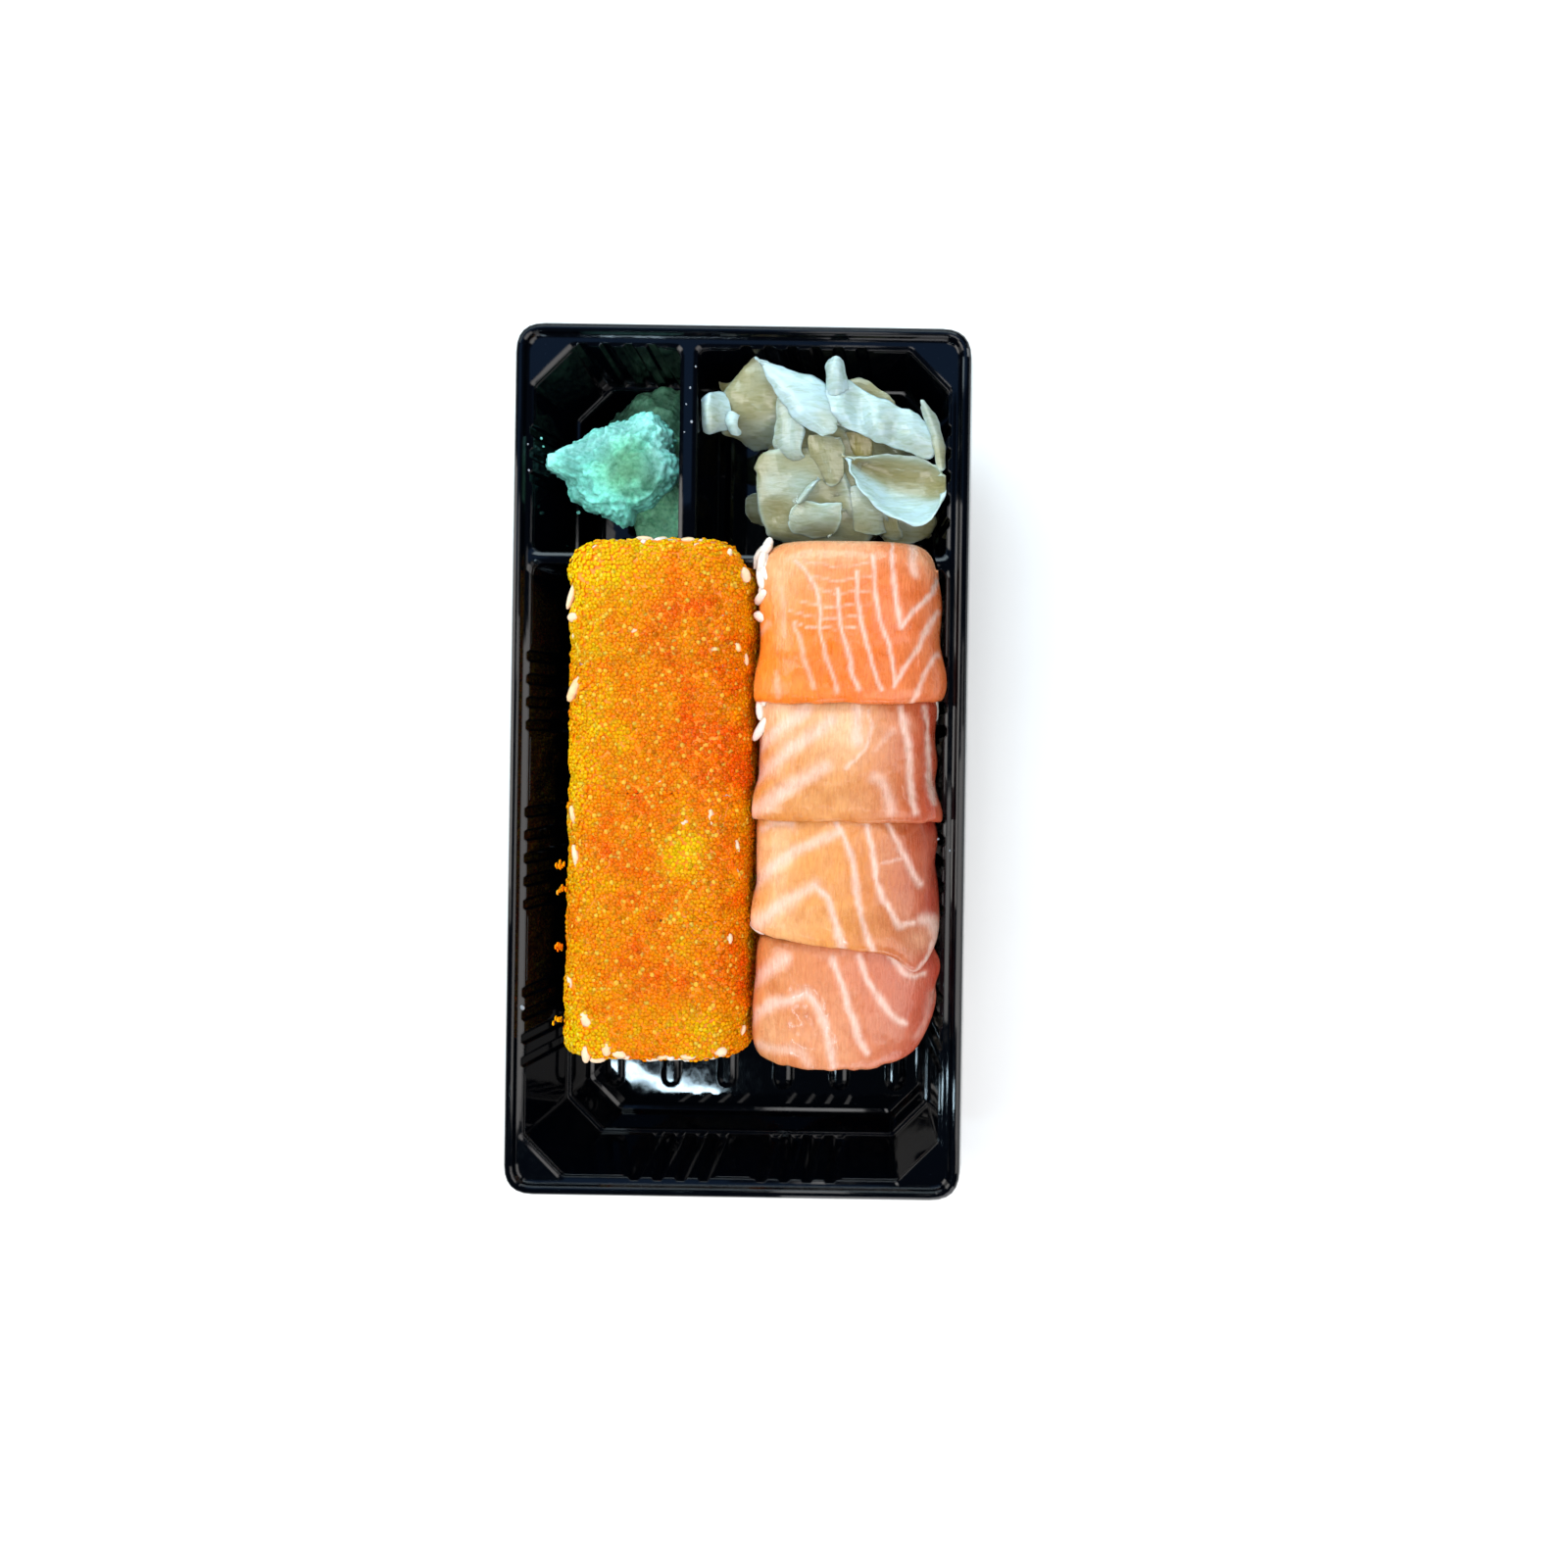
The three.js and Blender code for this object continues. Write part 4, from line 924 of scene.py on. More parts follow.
for number, cut in enumerate(SLICES):
    rows, columns = 134, 78
    a, b = np.meshgrid(crowded(np.linspace(-1, 1, rows)), crowded(np.linspace(-1, 1, columns)), indexing="ij")
    a, b = a.ravel(), b.ravel()
    edge = np.minimum(1, np.minimum((1 - np.abs(a)) * 26, (1 - np.abs(b)) * 12) / 0.75)
    full = np.maximum(np.sqrt(np.clip(1 - (1 - edge) ** 2, 0, 1)), 0.04)  # thin at the rim
    top = on_slice(number, a, b, full)
    under = on_slice(number, a, b, -full)
    outward = top - under
    outward /= np.linalg.norm(outward, axis=1, keepdims=True) + 1e-6

    # How much fat, or painted glint, each point has, from the distance to lines that are drawn a little
    # unsteadily.
    warped = top[:, :2] + 0.38 * np.stack([uneven(top, 3.1, 31), uneven(top, 3.1, 32)], 1)
    warped += 0.2 * np.stack([uneven(top, 1.1, 33), uneven(top, 1.1, 34)], 1)
    fatness = np.zeros(len(top))
    for width, strength, line in cut["fat_and_glints"]:
        width = 0.85 * width * (1 + 0.3 * uneven(top, 4.5, 35))
        fatness = np.maximum(fatness, strength * np.exp(-((near_line(warped, line) / width) ** 2.2)))

    # Painted light: the flesh is lighter on the left, where the lamp falls, and darker to the right, as shade.
    left, middle, right = (np.array(linear(*c)) for c in cut["flesh"])
    share = np.clip((top[:, 0] - 5) / 36, 0, 1)[:, None]
    flesh = np.where(
        share < 0.5, left + (middle - left) * share * 2, middle + (right - middle) * (share * 2 - 1)
    )
    # The pale places are partly paler flesh and partly a painted sheen where the slice would catch the light.
    pale = sum(
        strength * np.exp(-((top[:, 0] - x) ** 2 + (top[:, 1] - y) ** 2) / radius**2)
        for x, y, radius, strength in cut["pale"]
    )
    pale = np.clip(pale + 0.08 * uneven(top, 4, 36) + 0.05, 0, 1)[:, None]
    flesh = flesh * (1 - pale) + PALE_FLESH * pale
    white = (0.92 * fatness)[:, None]
    colour = flesh * (1 - white) + FAT_WHITE * white

    swell = FLESH_DEPTH * (0.5 - fatness) + 0.14 * uneven(top, 5.5, 37) + 0.05 * uneven(top, 1.2, 38)
    top = top + outward * (swell * full)[:, None]
    top[:, 0] = np.maximum(top[:, 0], SLICE_LEFT_LIMIT)
    points = within_walls(np.concatenate([top, under]), 0.32)
    over_divider = (points[:, 2] < DIVIDER_TOP) & (points[:, 1] > 41)
    points[over_divider, 2] = DIVIDER_TOP
    tint = np.concatenate([colour, colour])
    fish = mesh_piece(f"salmon_{number + 1}", points, sheet_faces(rows, columns), raw_salmon, tint)
    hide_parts(f"salmon_slice_{number + 1}")


# ---------- the wasabi ----------
# Green horseradish paste squeezed out of a bag and pressed: a smooth disc with a crumbly rim,
# drawn out to a tip at the left wall, on a skirt that leans on the long divider.

wasabi_paste, tree, surface = finish("wasabi_paste", {
    "Roughness": 0.55, "IOR": 1.4,
    "Subsurface Weight": 0.25, "Subsurface Radius": (0.5, 0.9, 0.6), "Subsurface Scale": 1.0 * MM,
})
granules = clouds(tree, on_piece(tree), 1100.0, 4.0, Roughness=0.6)
tinted(tree, surface, ramp(tree, granules, [(0.32, (0.5, 0.72, 0.62)), (0.6, (1.08, 1.06, 1.04))]))
relief(tree, surface, granules, 0.3, 0.8)

# The paste painted as in full cool light, as pressed into the disc, and painted as in shade.
PASTE_BRIGHT, PASTE_PRESSED, PASTE_DARK = (
    np.array(linear(*c)) for c in ((128, 222, 210), (108, 184, 142), (90, 142, 116))
)
CAP_OUTLINE = [
    (-43.2, 63.2), (-43, 64.9), (-41.1, 65.6), (-39.4, 67.3), (-37, 69.1), (-34.5, 71.1), (-32.2, 72.2),
    (-27.3, 74), (-24.7, 74.6), (-22.4, 75.7), (-19.8, 74.9), (-18.3, 73.4), (-17.4, 70.9), (-17.1, 69),
    (-17.5, 67.9), (-16.4, 66.4), (-16.2, 62.6), (-17.4, 60), (-20.2, 57.6), (-22.1, 55.8), (-25.5, 54.5),
    (-26.1, 52.8), (-28, 51.5), (-29.7, 52.7), (-31.9, 53.1), (-34.2, 54.1), (-36.2, 55.2), (-38.1, 56),
    (-38.6, 58.6), (-39.4, 60.4), (-41.2, 61.7), (-42.9, 62.1),
]
SKIRT_OUTLINE = [
    (-35.8, 74.6), (-32.1, 78.7), (-27.7, 83), (-23.7, 85.1), (-21.2, 85.8), (-17.5, 84.2), (-14.6, 77.1),
    (-14.3, 68.1), (-14.5, 59.1), (-15.2, 50), (-23.2, 48.6), (-27.6, 50.2), (-28.6, 54.5), (-30, 59),
    (-33.4, 63.4), (-36.4, 69),
]
CAP_MIDDLE, SKIRT_MIDDLE = np.array([-27.5, 63.5]), np.array([-24, 67])
DISC = (-25.4, 62.4, 5.6)  # the pressed disc's middle and radius
# A crease pressed beside the disc, painted darker along it as shade, and a ridge along the cap's
# back that is painted lighter as a highlight, where it catches the light.
CREASE = [(-20.2, 71.6), (-21.4, 69), (-22.9, 67.1), (-25.4, 66.7)]
FROSTED = [(-42, 64.5), (-34, 68.5), (-27, 71.5), (-22, 73), (-19, 70), (-18.5, 64)]
# Crumbs on the compartment's floor and wall: place, and size.
LOOSE_CRUMBS = [
    (-38.5, 54.4, 19, 0.6), (-43.4, 68.3, 29, 0.4), (-43.3, 66.8, 28, 0.3), (-38, 58, 1.5, 0.5),
    (-30, 47.5, 1.5, 0.6), (-33, 50, 1.4, 0.4),
]
CRUMB = dome(7, [(0.7, -0.7), (1, -0.1), (0.7, 0.6)])
CRUMB_COUNT = 110
TIP_RISE = 4.5  # how far the tip is drawn up at the left wall


def paste_lump(outline, middle, bottom, top, flatness, crumble, seed):
    """A closed lump over an outline: low at its rim, with crumbs that grow towards the rim."""
    around, steps = 270, 46
    outline = np.array(outline, float) - middle
    bearing = np.arctan2(outline[:, 1], outline[:, 0])
    order = np.argsort(bearing)
    turn = np.linspace(-math.pi, math.pi, around, endpoint=False)
    reach = np.interp(turn, bearing[order], np.hypot(*outline[order].T), period=2 * math.pi)
    rise = np.linspace(-1, 1, 2 * steps)[1:-1]
    rows = []
    for level in rise:
        share = (1 - np.abs(level) ** flatness) ** (1 / flatness)
        height = (bottom + top) / 2 + level * (top - bottom) / 2
        x, y = middle[0] + reach * share * np.cos(turn), middle[1] + reach * share * np.sin(turn)
        rows.append(np.stack([x, y, np.full(around, height)], 1))
    flat = [0.75, 0.5, 0.25, 0.05]
    axis = np.array([*middle, 0.0])
    first = [rows[0] * [1, 1, 0] * f + axis * (1 - f) + [0, 0, bottom] for f in reversed(flat)]
    last = [rows[-1] * [1, 1, 0] * f + axis * (1 - f) + [0, 0, top] for f in flat]
    points = np.concatenate([*first, *rows, *last])
    outward = (points - [middle[0], middle[1], (bottom + top) / 2]) / [1, 1, (top - bottom) / 14]
    outward /= np.linalg.norm(outward, axis=1, keepdims=True)
    inside = np.hypot(points[:, 0] - DISC[0], points[:, 1] - DISC[1]) / DISC[2]
    rough = crumble * (0.16 + 0.84 * smoothstep(0.85, 1.7, inside))
    crumbs = 0.8 * uneven(points, 3.1, seed) + 0.5 * np.abs(uneven(points, 1.7, seed + 1))
    crumbs = crumbs + 0.4 * uneven(points, 0.8, seed + 2)
    rings = 0.12 * np.sin(inside * 11) * smoothstep(2.6, 1.2, inside) * (points[:, 2] > top - 3)
    points = points + outward * (rough * crumbs + rings)[:, None]
    return points, skin_of(len(first) + len(rows) + len(last), around), crumbs


def in_bay(points, sides, free_above=math.inf):
    """The points kept off a small compartment's walls up to a height. Its left and right side come
    from how far the tray's walls and the dividers stand in at each point's height."""
    z = points[:, 2]
    wall = np.interp(z, WALL_HEIGHTS, WALL_INSETS) + 0.35
    divider = np.interp(z, [1, 11, 30.5], [2.0, 0.5, 0.0]) + 0.35
    left, right = sides(wall, divider)
    free = z > free_above
    out = points.copy()
    out[:, 0] = np.where(free, out[:, 0], np.clip(out[:, 0], left, right))
    out[:, 1] = np.where(free, out[:, 1], np.clip(out[:, 1], 43.8 + divider, 87.5 - wall))
    out[:, 2] = np.maximum(z, 1.15)
    return out


def drawn_up(points):
    """How far these points rise with the paste's tip."""
    return TIP_RISE * smoothstep(-34, -43, points[:, 0])


random = np.random.default_rng(7)
cap, faces, crumbs = paste_lump(CAP_OUTLINE, CAP_MIDDLE, 15, 27.6, 2.4, 1.15, 41)
crease = near_line(cap, CREASE)
cap[:, 2] -= np.where(cap[:, 2] > 22, 1.1 * np.exp(-((crease / 0.55) ** 2)), 0)
dip = np.hypot(cap[:, 0] - DISC[0], cap[:, 1] - DISC[1])
cap[:, 2] -= np.where(cap[:, 2] > 20, 0.5 * np.exp(-(((dip - DISC[2]) / 0.9) ** 2)), 0)
# Painted shade and light: the cap's grain darkens along the crease, and the ridge is painted as a highlight.
grain = np.clip(0.5 + 0.5 * uneven(cap, 4, 44) - 0.8 * np.exp(-((crease / 0.8) ** 2)), 0, 1)[:, None]
frost = np.exp(-((near_line(cap, FROSTED) / 2.6) ** 2))[:, None]
pressed = smoothstep(DISC[2] * 1.65, DISC[2] * 0.3, dip + 1.2 * uneven(cap, 3.5, 45))[:, None]
tint = PASTE_BRIGHT * (1 - pressed) + PASTE_PRESSED * pressed
tint = tint * (0.84 + 0.16 * grain) * (1 + frost * [0.6, 0.16, 0.24])
# Painted shade: the paste is darker in the hollows between its crumbs.
tint = tint * (0.6 + 0.5 * smoothstep(-0.3, 0.8, crumbs)[:, None])
cap[:, 2] += drawn_up(cap)
parts = [(cap, faces, tint)]

# The skirt is painted darkest at its back and low down, and in the hollows between its crumbs, as shade,
# and painted lighter at its front and by the divider, where it catches light.
skirt, faces, crumbs = paste_lump(SKIRT_OUTLINE, SKIRT_MIDDLE, 1.15, 18.5, 1.5, 1.1, 61)
height = smoothstep(4, 19, skirt[:, 2])[:, None]
near = smoothstep(66, 56, skirt[:, 1])[:, None]
lit = (0.75 + 0.5 * height + 1.1 * near * height) * (0.6 + 0.5 * smoothstep(-0.2, 0.9, crumbs)[:, None])
lit = lit + 2.1 * smoothstep(64, 54, skirt[:, 1])[:, None] * height
lit = lit * (1 + 0.9 * smoothstep(-19, -15, skirt[:, 0])[:, None])
parts.append((skirt, faces, PASTE_DARK * lit))

# Crumbs along the cap's rim.
spins = random.uniform(0, 2 * math.pi, CRUMB_COUNT)
rim = np.array([CAP_OUTLINE[k] for k in random.integers(0, len(CAP_OUTLINE), CRUMB_COUNT)])
places = np.column_stack([rim * 0.93 + CAP_MIDDLE * 0.07, random.uniform(17, 22.5, CRUMB_COUNT)])
places[:, :2] += random.normal(0, 0.3, (CRUMB_COUNT, 2))
places[:, 2] += drawn_up(places)
sizes = random.uniform(0.3, 0.8, (CRUMB_COUNT, 1)) * random.uniform(0.7, 1.1, (CRUMB_COUNT, 3))
points, faces = copies(CRUMB, places, upright(random.normal(0, 1, (CRUMB_COUNT, 3)), spins), sizes)
tint = PASTE_BRIGHT * random.uniform(0.75, 1.05, (CRUMB_COUNT, 1))
parts.append((points, faces, np.repeat(tint, len(CRUMB[0]), axis=0)))

places = np.array([crumb[:3] for crumb in LOOSE_CRUMBS])
sizes = np.array([[size, size * 0.8, size * 0.7] for _, _, _, size in LOOSE_CRUMBS])
turns = upright(random.normal(0, 1, (len(places), 3)), random.uniform(0, 6, len(places)))
points, faces = copies(CRUMB, places, turns, sizes)
parts.append((points, faces, np.tile(PASTE_BRIGHT, (len(points), 1))))
points, faces, tint = join_up(parts)
points = in_bay(points, lambda wall, divider: (WALL_LEFT + wall, -13.5 - divider))
paste = mesh_piece("wasabi_lump", points, faces, wasabi_paste, tint)
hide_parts("wasabi")


# ---------- the pickled ginger ----------
# Thin slices of young ginger pickled in vinegar, heaped wet. They fold and cup over each other,
# their cut rims are painted paler as highlights, and light comes through them. Each is painted pale
# where it is lit by the cool window and deep where it lies in shade.

GINGER_PALE, GINGER_BEIGE, GINGER_DEEP = (
    np.array(linear(*c)) for c in ((190, 222, 226), (160, 160, 128), (146, 136, 84))
)
# Each slice as rows across it of three points each, with its tone of painted light: 1 pale and lit,
# 0 beige, -1 deep and shaded.
GINGER = {
    "petal": (0.85, [
        [(3.0, 85.1, 31.5), (3.2, 85.3, 31.6), (3.4, 85.3, 31.5)],
        [(5.7, 80.1, 31), (7.6, 81.3, 32.5), (9.1, 83.3, 31.5)],
        [(9.0, 75.7, 30.5), (11.6, 77.9, 33), (13.9, 81.3, 32)],
        [(13.0, 71.6, 30.5), (15.8, 74.5, 33), (18.1, 78.9, 31.5)],
        [(16.5, 69.8, 31), (18.4, 71.5, 32), (20.0, 74.9, 31.5)],
        [(17.9, 69.8, 31), (19.2, 70.6, 31.2), (19.8, 72.2, 31)],
    ]),
    "left_sheet": (0, [
        [(0.5, 85.0, 27), (1.7, 86.3, 27.5), (2.8, 85.6, 28)],
        [(-2.5, 81.5, 26.5), (1.2, 82.0, 28), (5.7, 80.6, 28.5)],
        [(-5.5, 78.8, 26), (0.6, 77.3, 28), (7.2, 77.0, 28)],
        [(-6.5, 75.1, 24), (0.2, 73.7, 25.5), (6.9, 73.7, 26)],
        [(-5.6, 72.3, 21), (-0.6, 71.3, 21), (5.5, 71.3, 21)],
        [(-3.5, 71.6, 17), (-0.3, 70.1, 16), (3.9, 69.7, 16)],
    ]),
    "folded_end": (0.8, [
        [(-10.4, 77.8, 28), (-10.2, 74.3, 27.5), (-9.6, 70.7, 26)],
        [(-7.8, 78.2, 29), (-7.7, 73.8, 29.5), (-7.7, 70.5, 27)],
        [(-6.2, 79.0, 27), (-5.7, 74.5, 28), (-5.7, 71.3, 25.5)],
        [(-4.2, 78.9, 26), (-3.9, 74.9, 26.5), (-4.0, 71.8, 24.5)],
    ]),
    "left_back": (-0.4, [
        [(-7.2, 82.7, 23), (-6.2, 80.9, 24), (-5.6, 79.3, 23.5)],
        [(-4.4, 82.3, 24.5), (-3.3, 80.5, 25.5), (-2.7, 79.0, 25)],
        [(-1.7, 83.2, 25), (-0.4, 80.8, 26), (0.4, 78.9, 25.5)],
    ]),
    "left_flap": (0.9, [
        [(-4.4, 74.7, 27.2), (-2.7, 74.9, 28.2), (-1.1, 74.4, 27.8)],
        [(-4.6, 72.9, 26.8), (-2.9, 72.3, 28.2), (-1.7, 72.4, 27.4)],
        [(-3.8, 71.3, 25.6), (-2.3, 70.3, 26.4), (-1.4, 70.7, 25.6)],
    ]),
    "ragged": (0.6, [
        [(7.1, 78.8, 29), (8.7, 77.3, 30), (10.9, 75.1, 30.5)],
        [(6.8, 74.2, 28), (9.1, 72.8, 29.5), (12.4, 70.9, 29)],
        [(6.0, 69.7, 26.5), (8.8, 67.9, 28), (11.9, 67.3, 28)],
        [(6.2, 67.6, 25), (9.2, 65.6, 26.5), (12.7, 66.1, 27)],
        [(8.3, 65.6, 24.5), (9.7, 64.2, 25), (11.6, 65.0, 25.5)],
    ]),
    "finger": (1, [
        [(17.2, 78.4, 31), (19.7, 77.4, 33), (22.2, 78.4, 31)],
        [(17.5, 80.8, 32.5), (20.0, 79.9, 34.5), (21.9, 80.9, 32.5)],
        [(17.8, 83.4, 33.5), (19.9, 82.6, 35.5), (21.7, 83.1, 33.5)],
        [(18.7, 84.7, 34), (20.0, 84.6, 35), (21.1, 84.6, 34)],
    ]),
    "band": (0.95, [
        [(16.3, 80.4, 31), (17.3, 76.1, 31.5), (19.3, 72.3, 30.5)],
        [(21.8, 81.0, 31.5), (21.6, 75.2, 33), (22.7, 70.7, 30.5)],
        [(25.1, 79.0, 31.5), (25.1, 74.7, 31), (25.9, 69.7, 29.5)],
        [(28.9, 76.7, 31.5), (28.7, 71.8, 33), (28.9, 68.4, 30)],
        [(32.6, 75.5, 31), (32.1, 71.3, 31), (31.8, 67.4, 29)],
        [(36.0, 74.1, 31), (35.7, 69.8, 32), (36.0, 66.2, 29)],
        [(38.9, 71.9, 30.5), (38.8, 68.8, 30.5), (39.4, 65.5, 28.5)],
        [(40.8, 69.5, 29.5), (40.9, 67.6, 29.5), (41.1, 65.8, 28.5)],
    ]),
    "back_sheet": (0, [
        [(21.8, 82.3, 28), (22.3, 79.7, 28), (22.7, 76.9, 27)],
        [(25.9, 81.5, 28.5), (26.1, 78.6, 28.5), (26.5, 74.8, 27)],
        [(29.5, 79.3, 28.5), (29.5, 76.5, 28.5), (29.9, 72.7, 27)],
        [(31.6, 77.3, 28), (31.9, 74.6, 28), (32.3, 71.7, 27)],
    ]),
    "sliver": (0.5, [
        [(37.9, 76.2, 33), (38.0, 76.2, 33), (38.1, 76.1, 33)],
        [(38.5, 73.8, 31.5), (39.6, 73.1, 32.5), (40.6, 74.1, 31)],
        [(39.6, 69.9, 30.5), (41.1, 69.2, 31.5), (42.3, 70.5, 30)],
        [(40.9, 65.8, 30), (41.9, 65.3, 30.5), (42.7, 67.1, 29)],
        [(41.5, 63.2, 29.5), (42.4, 63.0, 29.5), (43.0, 64.3, 28.5)],
    ]),
    "boat": (0.3, [
        [(21.3, 65.4, 29), (21.6, 65.4, 29), (21.8, 65.4, 29)],
        [(23.5, 61.2, 29), (24.9, 63.8, 26), (27.1, 65.7, 27)],
        [(26.9, 56.8, 29), (29.0, 62.2, 24), (31.5, 66.2, 27)],
        [(31.2, 53.4, 29.5), (33.3, 60.3, 24), (36.2, 65.7, 27.5)],
        [(35.9, 51.3, 30), (37.7, 59.5, 25), (39.8, 64.4, 28)],
        [(40.1, 52.3, 30.5), (40.9, 58.6, 27.5), (41.7, 63.1, 29)],
        [(43.3, 57.0, 30.5), (43.3, 59.6, 30), (42.8, 61.9, 29.8)],
    ]),
    "lower_left": (0, [
        [(2.4, 67.1, 24), (7.8, 66.9, 26), (16.4, 68.3, 27)],
        [(2.0, 63.5, 24), (9.0, 62.6, 26.5), (18.7, 65.0, 27.5)],
        [(2.2, 59.3, 23.5), (10.1, 58.5, 26), (21.2, 61.1, 26.5)],
        [(2.8, 55.2, 22.5), (11.0, 54.5, 24.5), (22.4, 56.7, 25)],
        [(3.9, 51.2, 21), (11.9, 50.6, 22.5), (22.2, 52.2, 23)],
        [(4.7, 49.1, 18), (11.9, 48.1, 19), (21.0, 49.1, 19)],
    ]),
    "pale_petal": (0.1, [
        [(9.1, 52.8, 24.4), (10.1, 54.7, 25.4), (11.8, 56.4, 25.8)],
        [(10.3, 49.8, 23.4), (12.7, 52.2, 25.6), (14.9, 56.1, 26.4)],
        [(14.1, 48.8, 23), (16.1, 51.6, 25.4), (17.9, 55.5, 26.6)],
        [(18.4, 48.9, 22.6), (19.9, 51.8, 25), (21.2, 56.5, 26.2)],
    ]),
    "ridge": (0.6, [
        [(10.6, 55.5, 26.2), (11.5, 55.7, 27), (12.3, 56.3, 26.4)],
        [(12.8, 58.1, 26.8), (13.7, 58.4, 27.8), (14.5, 59.1, 27.2)],
        [(14.9, 60.4, 27.4), (15.8, 60.6, 28.1), (16.2, 61.2, 27.6)],
    ]),
    "middle": (-0.3, [
        [(13.6, 70.6, 28.5), (16.7, 69.6, 29.5), (20.4, 70.3, 28.5)],
        [(14.0, 67.5, 27.5), (17.1, 66.3, 29), (20.8, 67.5, 28)],
        [(14.8, 63.9, 26.5), (17.9, 62.8, 28), (21.2, 64.2, 27.5)],
        [(16.4, 60.7, 26), (18.7, 59.6, 27), (21.2, 61.5, 26.5)],
    ]),
    "inner": (-0.8, [
        [(20.6, 71.5, 27), (23.7, 70.7, 28), (27.0, 69.8, 27.5)],
        [(21.0, 68.4, 26), (23.9, 67.3, 27), (26.8, 67.1, 26.5)],
        [(21.8, 65.7, 25), (24.4, 64.7, 25.5), (27.3, 65.7, 25)],
    ]),
    "lower_right": (0.1, [
        [(21.9, 60.0, 25.5), (25.0, 59.0, 26.5), (28.4, 56.5, 26.5)],
        [(22.3, 56.0, 24.5), (25.8, 54.9, 25.6), (30.3, 53.8, 25)],
        [(22.6, 51.3, 22), (26.6, 50.1, 23), (32.1, 51.2, 22)],
    ]),
    "lower_right_2": (0.05, [
        [(26.2, 57.5, 25.8), (29.3, 55.7, 26.4), (32.5, 53.4, 25.4)],
        [(27.5, 53.1, 24), (30.1, 52.2, 24.6), (33.0, 51.2, 23.4)],
        [(29.0, 49.8, 21), (31.2, 49.3, 21.4), (33.8, 49.5, 20.6)],
    ]),
    "under_boat": (0.1, [
        [(27.0, 57.0, 21), (33.0, 57.5, 22), (39.0, 56.5, 21)],
        [(27.5, 53.0, 20.5), (33.6, 53.0, 21.5), (40.4, 53.2, 20)],
        [(29.0, 49.4, 18), (34.0, 48.6, 19), (39.4, 50.2, 17.5)],
    ]),
    "lower_front": (0.05, [
        [(12.5, 56.0, 23.5), (18.0, 55.0, 24.2), (24.5, 55.6, 24)],
        [(12.0, 52.0, 22), (18.6, 51.0, 23), (26.5, 51.6, 22.8)],
        [(13.0, 48.2, 19), (19.0, 47.2, 20), (26.0, 47.8, 19.4)],
    ]),
    "bridge": (-0.15, [
        [(7.0, 72.5, 25), (13.0, 73.5, 26.6), (20.5, 73.0, 26.8)],
        [(6.6, 68.0, 25), (13.6, 68.0, 26.8), (22.6, 68.6, 27)],
        [(8.6, 63.0, 24.6), (15.0, 62.4, 26.2), (24.0, 63.6, 26.2)],
        [(11.0, 58.4, 24), (17.0, 57.6, 25.2), (24.6, 58.8, 25.2)],
    ]),
    "left_scrap": (0.1, [
        [(-1.9, 59.6, 14), (0.1, 59.9, 15), (2.4, 59.2, 15.5)],
        [(-2.2, 56.9, 13), (-0.0, 56.3, 14), (2.3, 55.8, 14.6)],
        [(-1.2, 54.0, 12), (0.6, 53.5, 12.5), (3.0, 53.4, 13)],
    ]),
    "right_scrap": (-0.1, [
        [(32.8, 54.0, 15), (36.1, 54.1, 15.6), (39.2, 53.6, 14)],
        [(32.7, 51.7, 13), (36.3, 51.2, 13.6), (39.4, 51.5, 12)],
    ]),
}


pickled_slice, tree, surface = finish("pickled_ginger_flesh", {
    "Roughness": 0.24, "IOR": 1.38, "Transmission Weight": 0.16, "Coat Weight": 0.3, "Coat Roughness": 0.1,
    "Subsurface Weight": 0.55, "Subsurface Radius": (1.0, 0.95, 0.7), "Subsurface Scale": 1.6 * MM,
})
vein = clouds(tree, drawn_out(tree, on_piece(tree), (260.0, 1300.0, 500.0), 0.9), 1.0, 5.0, Distortion=0.8)
tinted(tree, surface, ramp(tree, vein, [(0.32, (0.8, 0.8, 0.66)), (0.58, (1.02, 1.02, 1.0))]))
relief(tree, surface, vein, 0.16, 0.7)


def through(values, t):
    """A smooth curve through rows of points, at places t from 0 to the last row."""
    values = np.asarray(values, float)
    last = len(values) - 1
    k = np.clip(np.floor(t).astype(int), 0, last - 1)
    f = (t - k)[:, None, None]
    before, after = np.maximum(k - 1, 0), np.minimum(k + 2, last)
    p0, p1, p2, p3 = values[before], values[k], values[k + 1], values[after]
    square, cube = (2 * p0 - 5 * p1 + 4 * p2 - p3) * f**2, (3 * p1 - p0 - 3 * p2 + p3) * f**3
    return 0.5 * (2 * p1 + (p2 - p0) * f + square + cube)


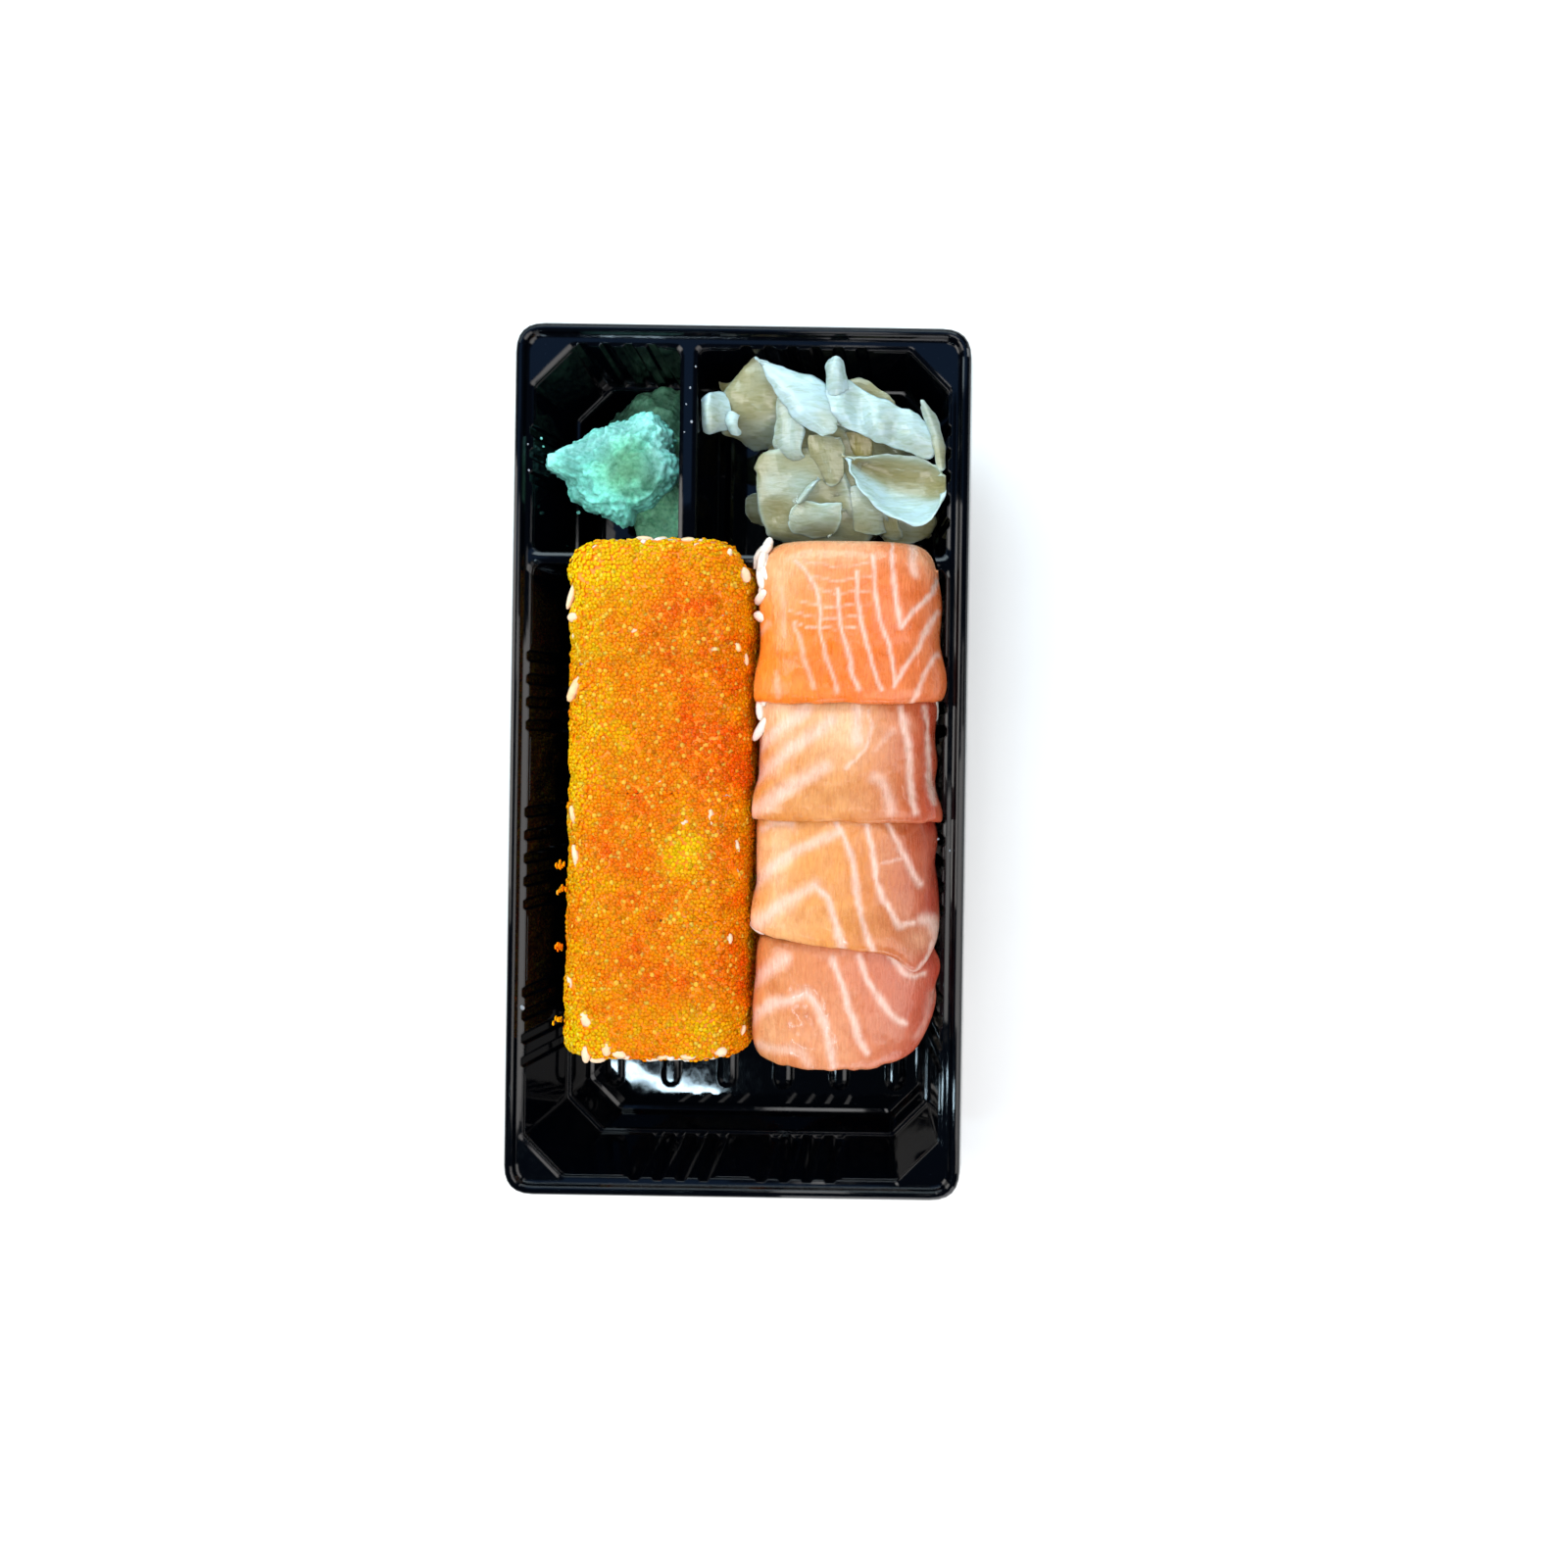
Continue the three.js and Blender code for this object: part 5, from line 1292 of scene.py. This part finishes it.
def ginger_slice(rows, tone, seed, cupped):
    """One slice: a thin wavy sheet through its rows of points, thicker at its rim and painted paler there
    as a highlight. A cupped one is also painted deep in its hollow, as shade, and pale along its front, as
    light."""
    along, across = 42, 28
    lines = through(rows, np.linspace(0, len(rows) - 1, along))
    v = np.linspace(0, 1, across)
    weight = np.stack([(1 - v) * (1 - 2 * v), 4 * v * (1 - v), v * (2 * v - 1)])
    grid = np.einsum("kv,akc->avc", weight, lines)
    u, w = np.meshgrid(np.linspace(-1, 1, along), np.linspace(-1, 1, across), indexing="ij")
    drawn_in = 1 - 0.2 * (u**4) * (w**4) ** 0.5
    middle = grid[along // 2, across // 2]
    grid = middle + (grid - middle) * 1.07 * drawn_in[..., None]
    du, dv = np.gradient(grid, axis=0), np.gradient(grid, axis=1)
    normal = np.cross(du, dv).reshape(-1, 3)
    normal /= np.linalg.norm(normal, axis=1, keepdims=True) + 1e-9
    normal *= np.sign(normal[:, 2].sum())
    points = grid.reshape(-1, 3)
    u, w = (g.ravel() for g in np.meshgrid(np.linspace(0, 1, along), v, indexing="ij"))
    edge = np.minimum(np.minimum(u, 1 - u) * 2, np.minimum(w, 1 - w) * 2)
    round_edge = np.sqrt(np.clip(1 - (1 - np.minimum(1, edge / 0.12)) ** 2, 0, 1))
    ruffle = 0.45 * uneven(points, 3.2, seed) * (1 - edge) + 0.07 * uneven(points, 1.4, seed + 1)
    ruffle = ruffle + 0.5 * uneven(points, 6, seed + 2)
    fibre = 0.05 * np.sin(w * 70 + 3 * uneven(points, 4, seed + 3))
    points = points + normal * (ruffle + fibre)[:, None]
    points[:, :2] += (0.35 * (1 - np.minimum(1, edge / 0.25)) * uneven(points, 1.6, seed + 4))[:, None]
    thick = (0.15 + 0.13 * np.exp(-((edge / 0.12) ** 2))) * round_edge + 0.02
    # Painted highlight: the rim is painted paler.
    rim = np.exp(-((edge / 0.13) ** 2))
    if cupped:
        lean = tone + 0.9 * smoothstep(0.5, 0.1, w) - 1.0 * np.exp(-(((w - 0.62) / 0.22) ** 2))
    else:
        lean = tone + 0.5 * uneven(points, 6, seed + 5)
    lean = np.clip(lean + 0.4 * rim, -1, 1)[:, None]
    far = np.where(lean > 0, GINGER_PALE, GINGER_DEEP)
    colour = GINGER_BEIGE * (1 - np.abs(lean)) + far * np.abs(lean)
    both = np.concatenate([points + normal * thick[:, None], points - normal * thick[:, None]])
    faces = sheet_faces(along, across)
    if np.cross(du, dv)[..., 2].sum() < 0:
        faces = faces[:, ::-1]
    return both, faces, np.concatenate([colour, colour])


# Under the slices lies the rest of the heap, one lump in uneven layers, painted darker towards its foot as
# shade.
CORE = {"at": (19.0, 64.8), "reach": (17.0, 15.5), "bottom": 1.15, "top": 24.6}
CORE_AROUND, CORE_ROWS = 90, 44
CORE_DARK = GINGER_DEEP * 0.7
turn = np.linspace(0, 2 * math.pi, CORE_AROUND, endpoint=False)
rows = []
for level in np.linspace(-1, 1, CORE_ROWS):
    share = np.sqrt(max(1 - abs(level) ** 3.5, 0.0004))
    height = (CORE["bottom"] + CORE["top"]) / 2 + level * (CORE["top"] - CORE["bottom"]) / 2
    x = CORE["at"][0] + CORE["reach"][0] * share * np.cos(turn)
    y = CORE["at"][1] + CORE["reach"][1] * share * np.sin(turn)
    rows.append(np.stack([x, y, np.full(CORE_AROUND, height)], 1))
core = np.concatenate(rows)
outward = core - [*CORE["at"], 12]
outward /= np.linalg.norm(outward, axis=1, keepdims=True)
layers = 0.9 * np.abs(uneven(core * [0.6, 0.6, 2.2], 4.2, 81)) + 0.5 * uneven(core, 5, 82) - 0.4
core = core + outward * layers[:, None]
height = smoothstep(2, 24, core[:, 2])[:, None]
tint = CORE_DARK + (GINGER_BEIGE - CORE_DARK) * height * 0.95
parts = [(core, skin_of(CORE_ROWS, CORE_AROUND), tint)]
for number, (name, (tone, rows)) in enumerate(GINGER.items()):
    parts.append(ginger_slice(rows, tone, 300 + 10 * number, cupped=name == "boat"))
points, faces, tint = join_up(parts)
points = in_bay(points, lambda wall, divider: (-9.9 + divider, WALL_RIGHT - wall), free_above=31.4)
ginger = mesh_piece("ginger_heap", points, faces, pickled_slice, tint)
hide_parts("pickled_ginger")
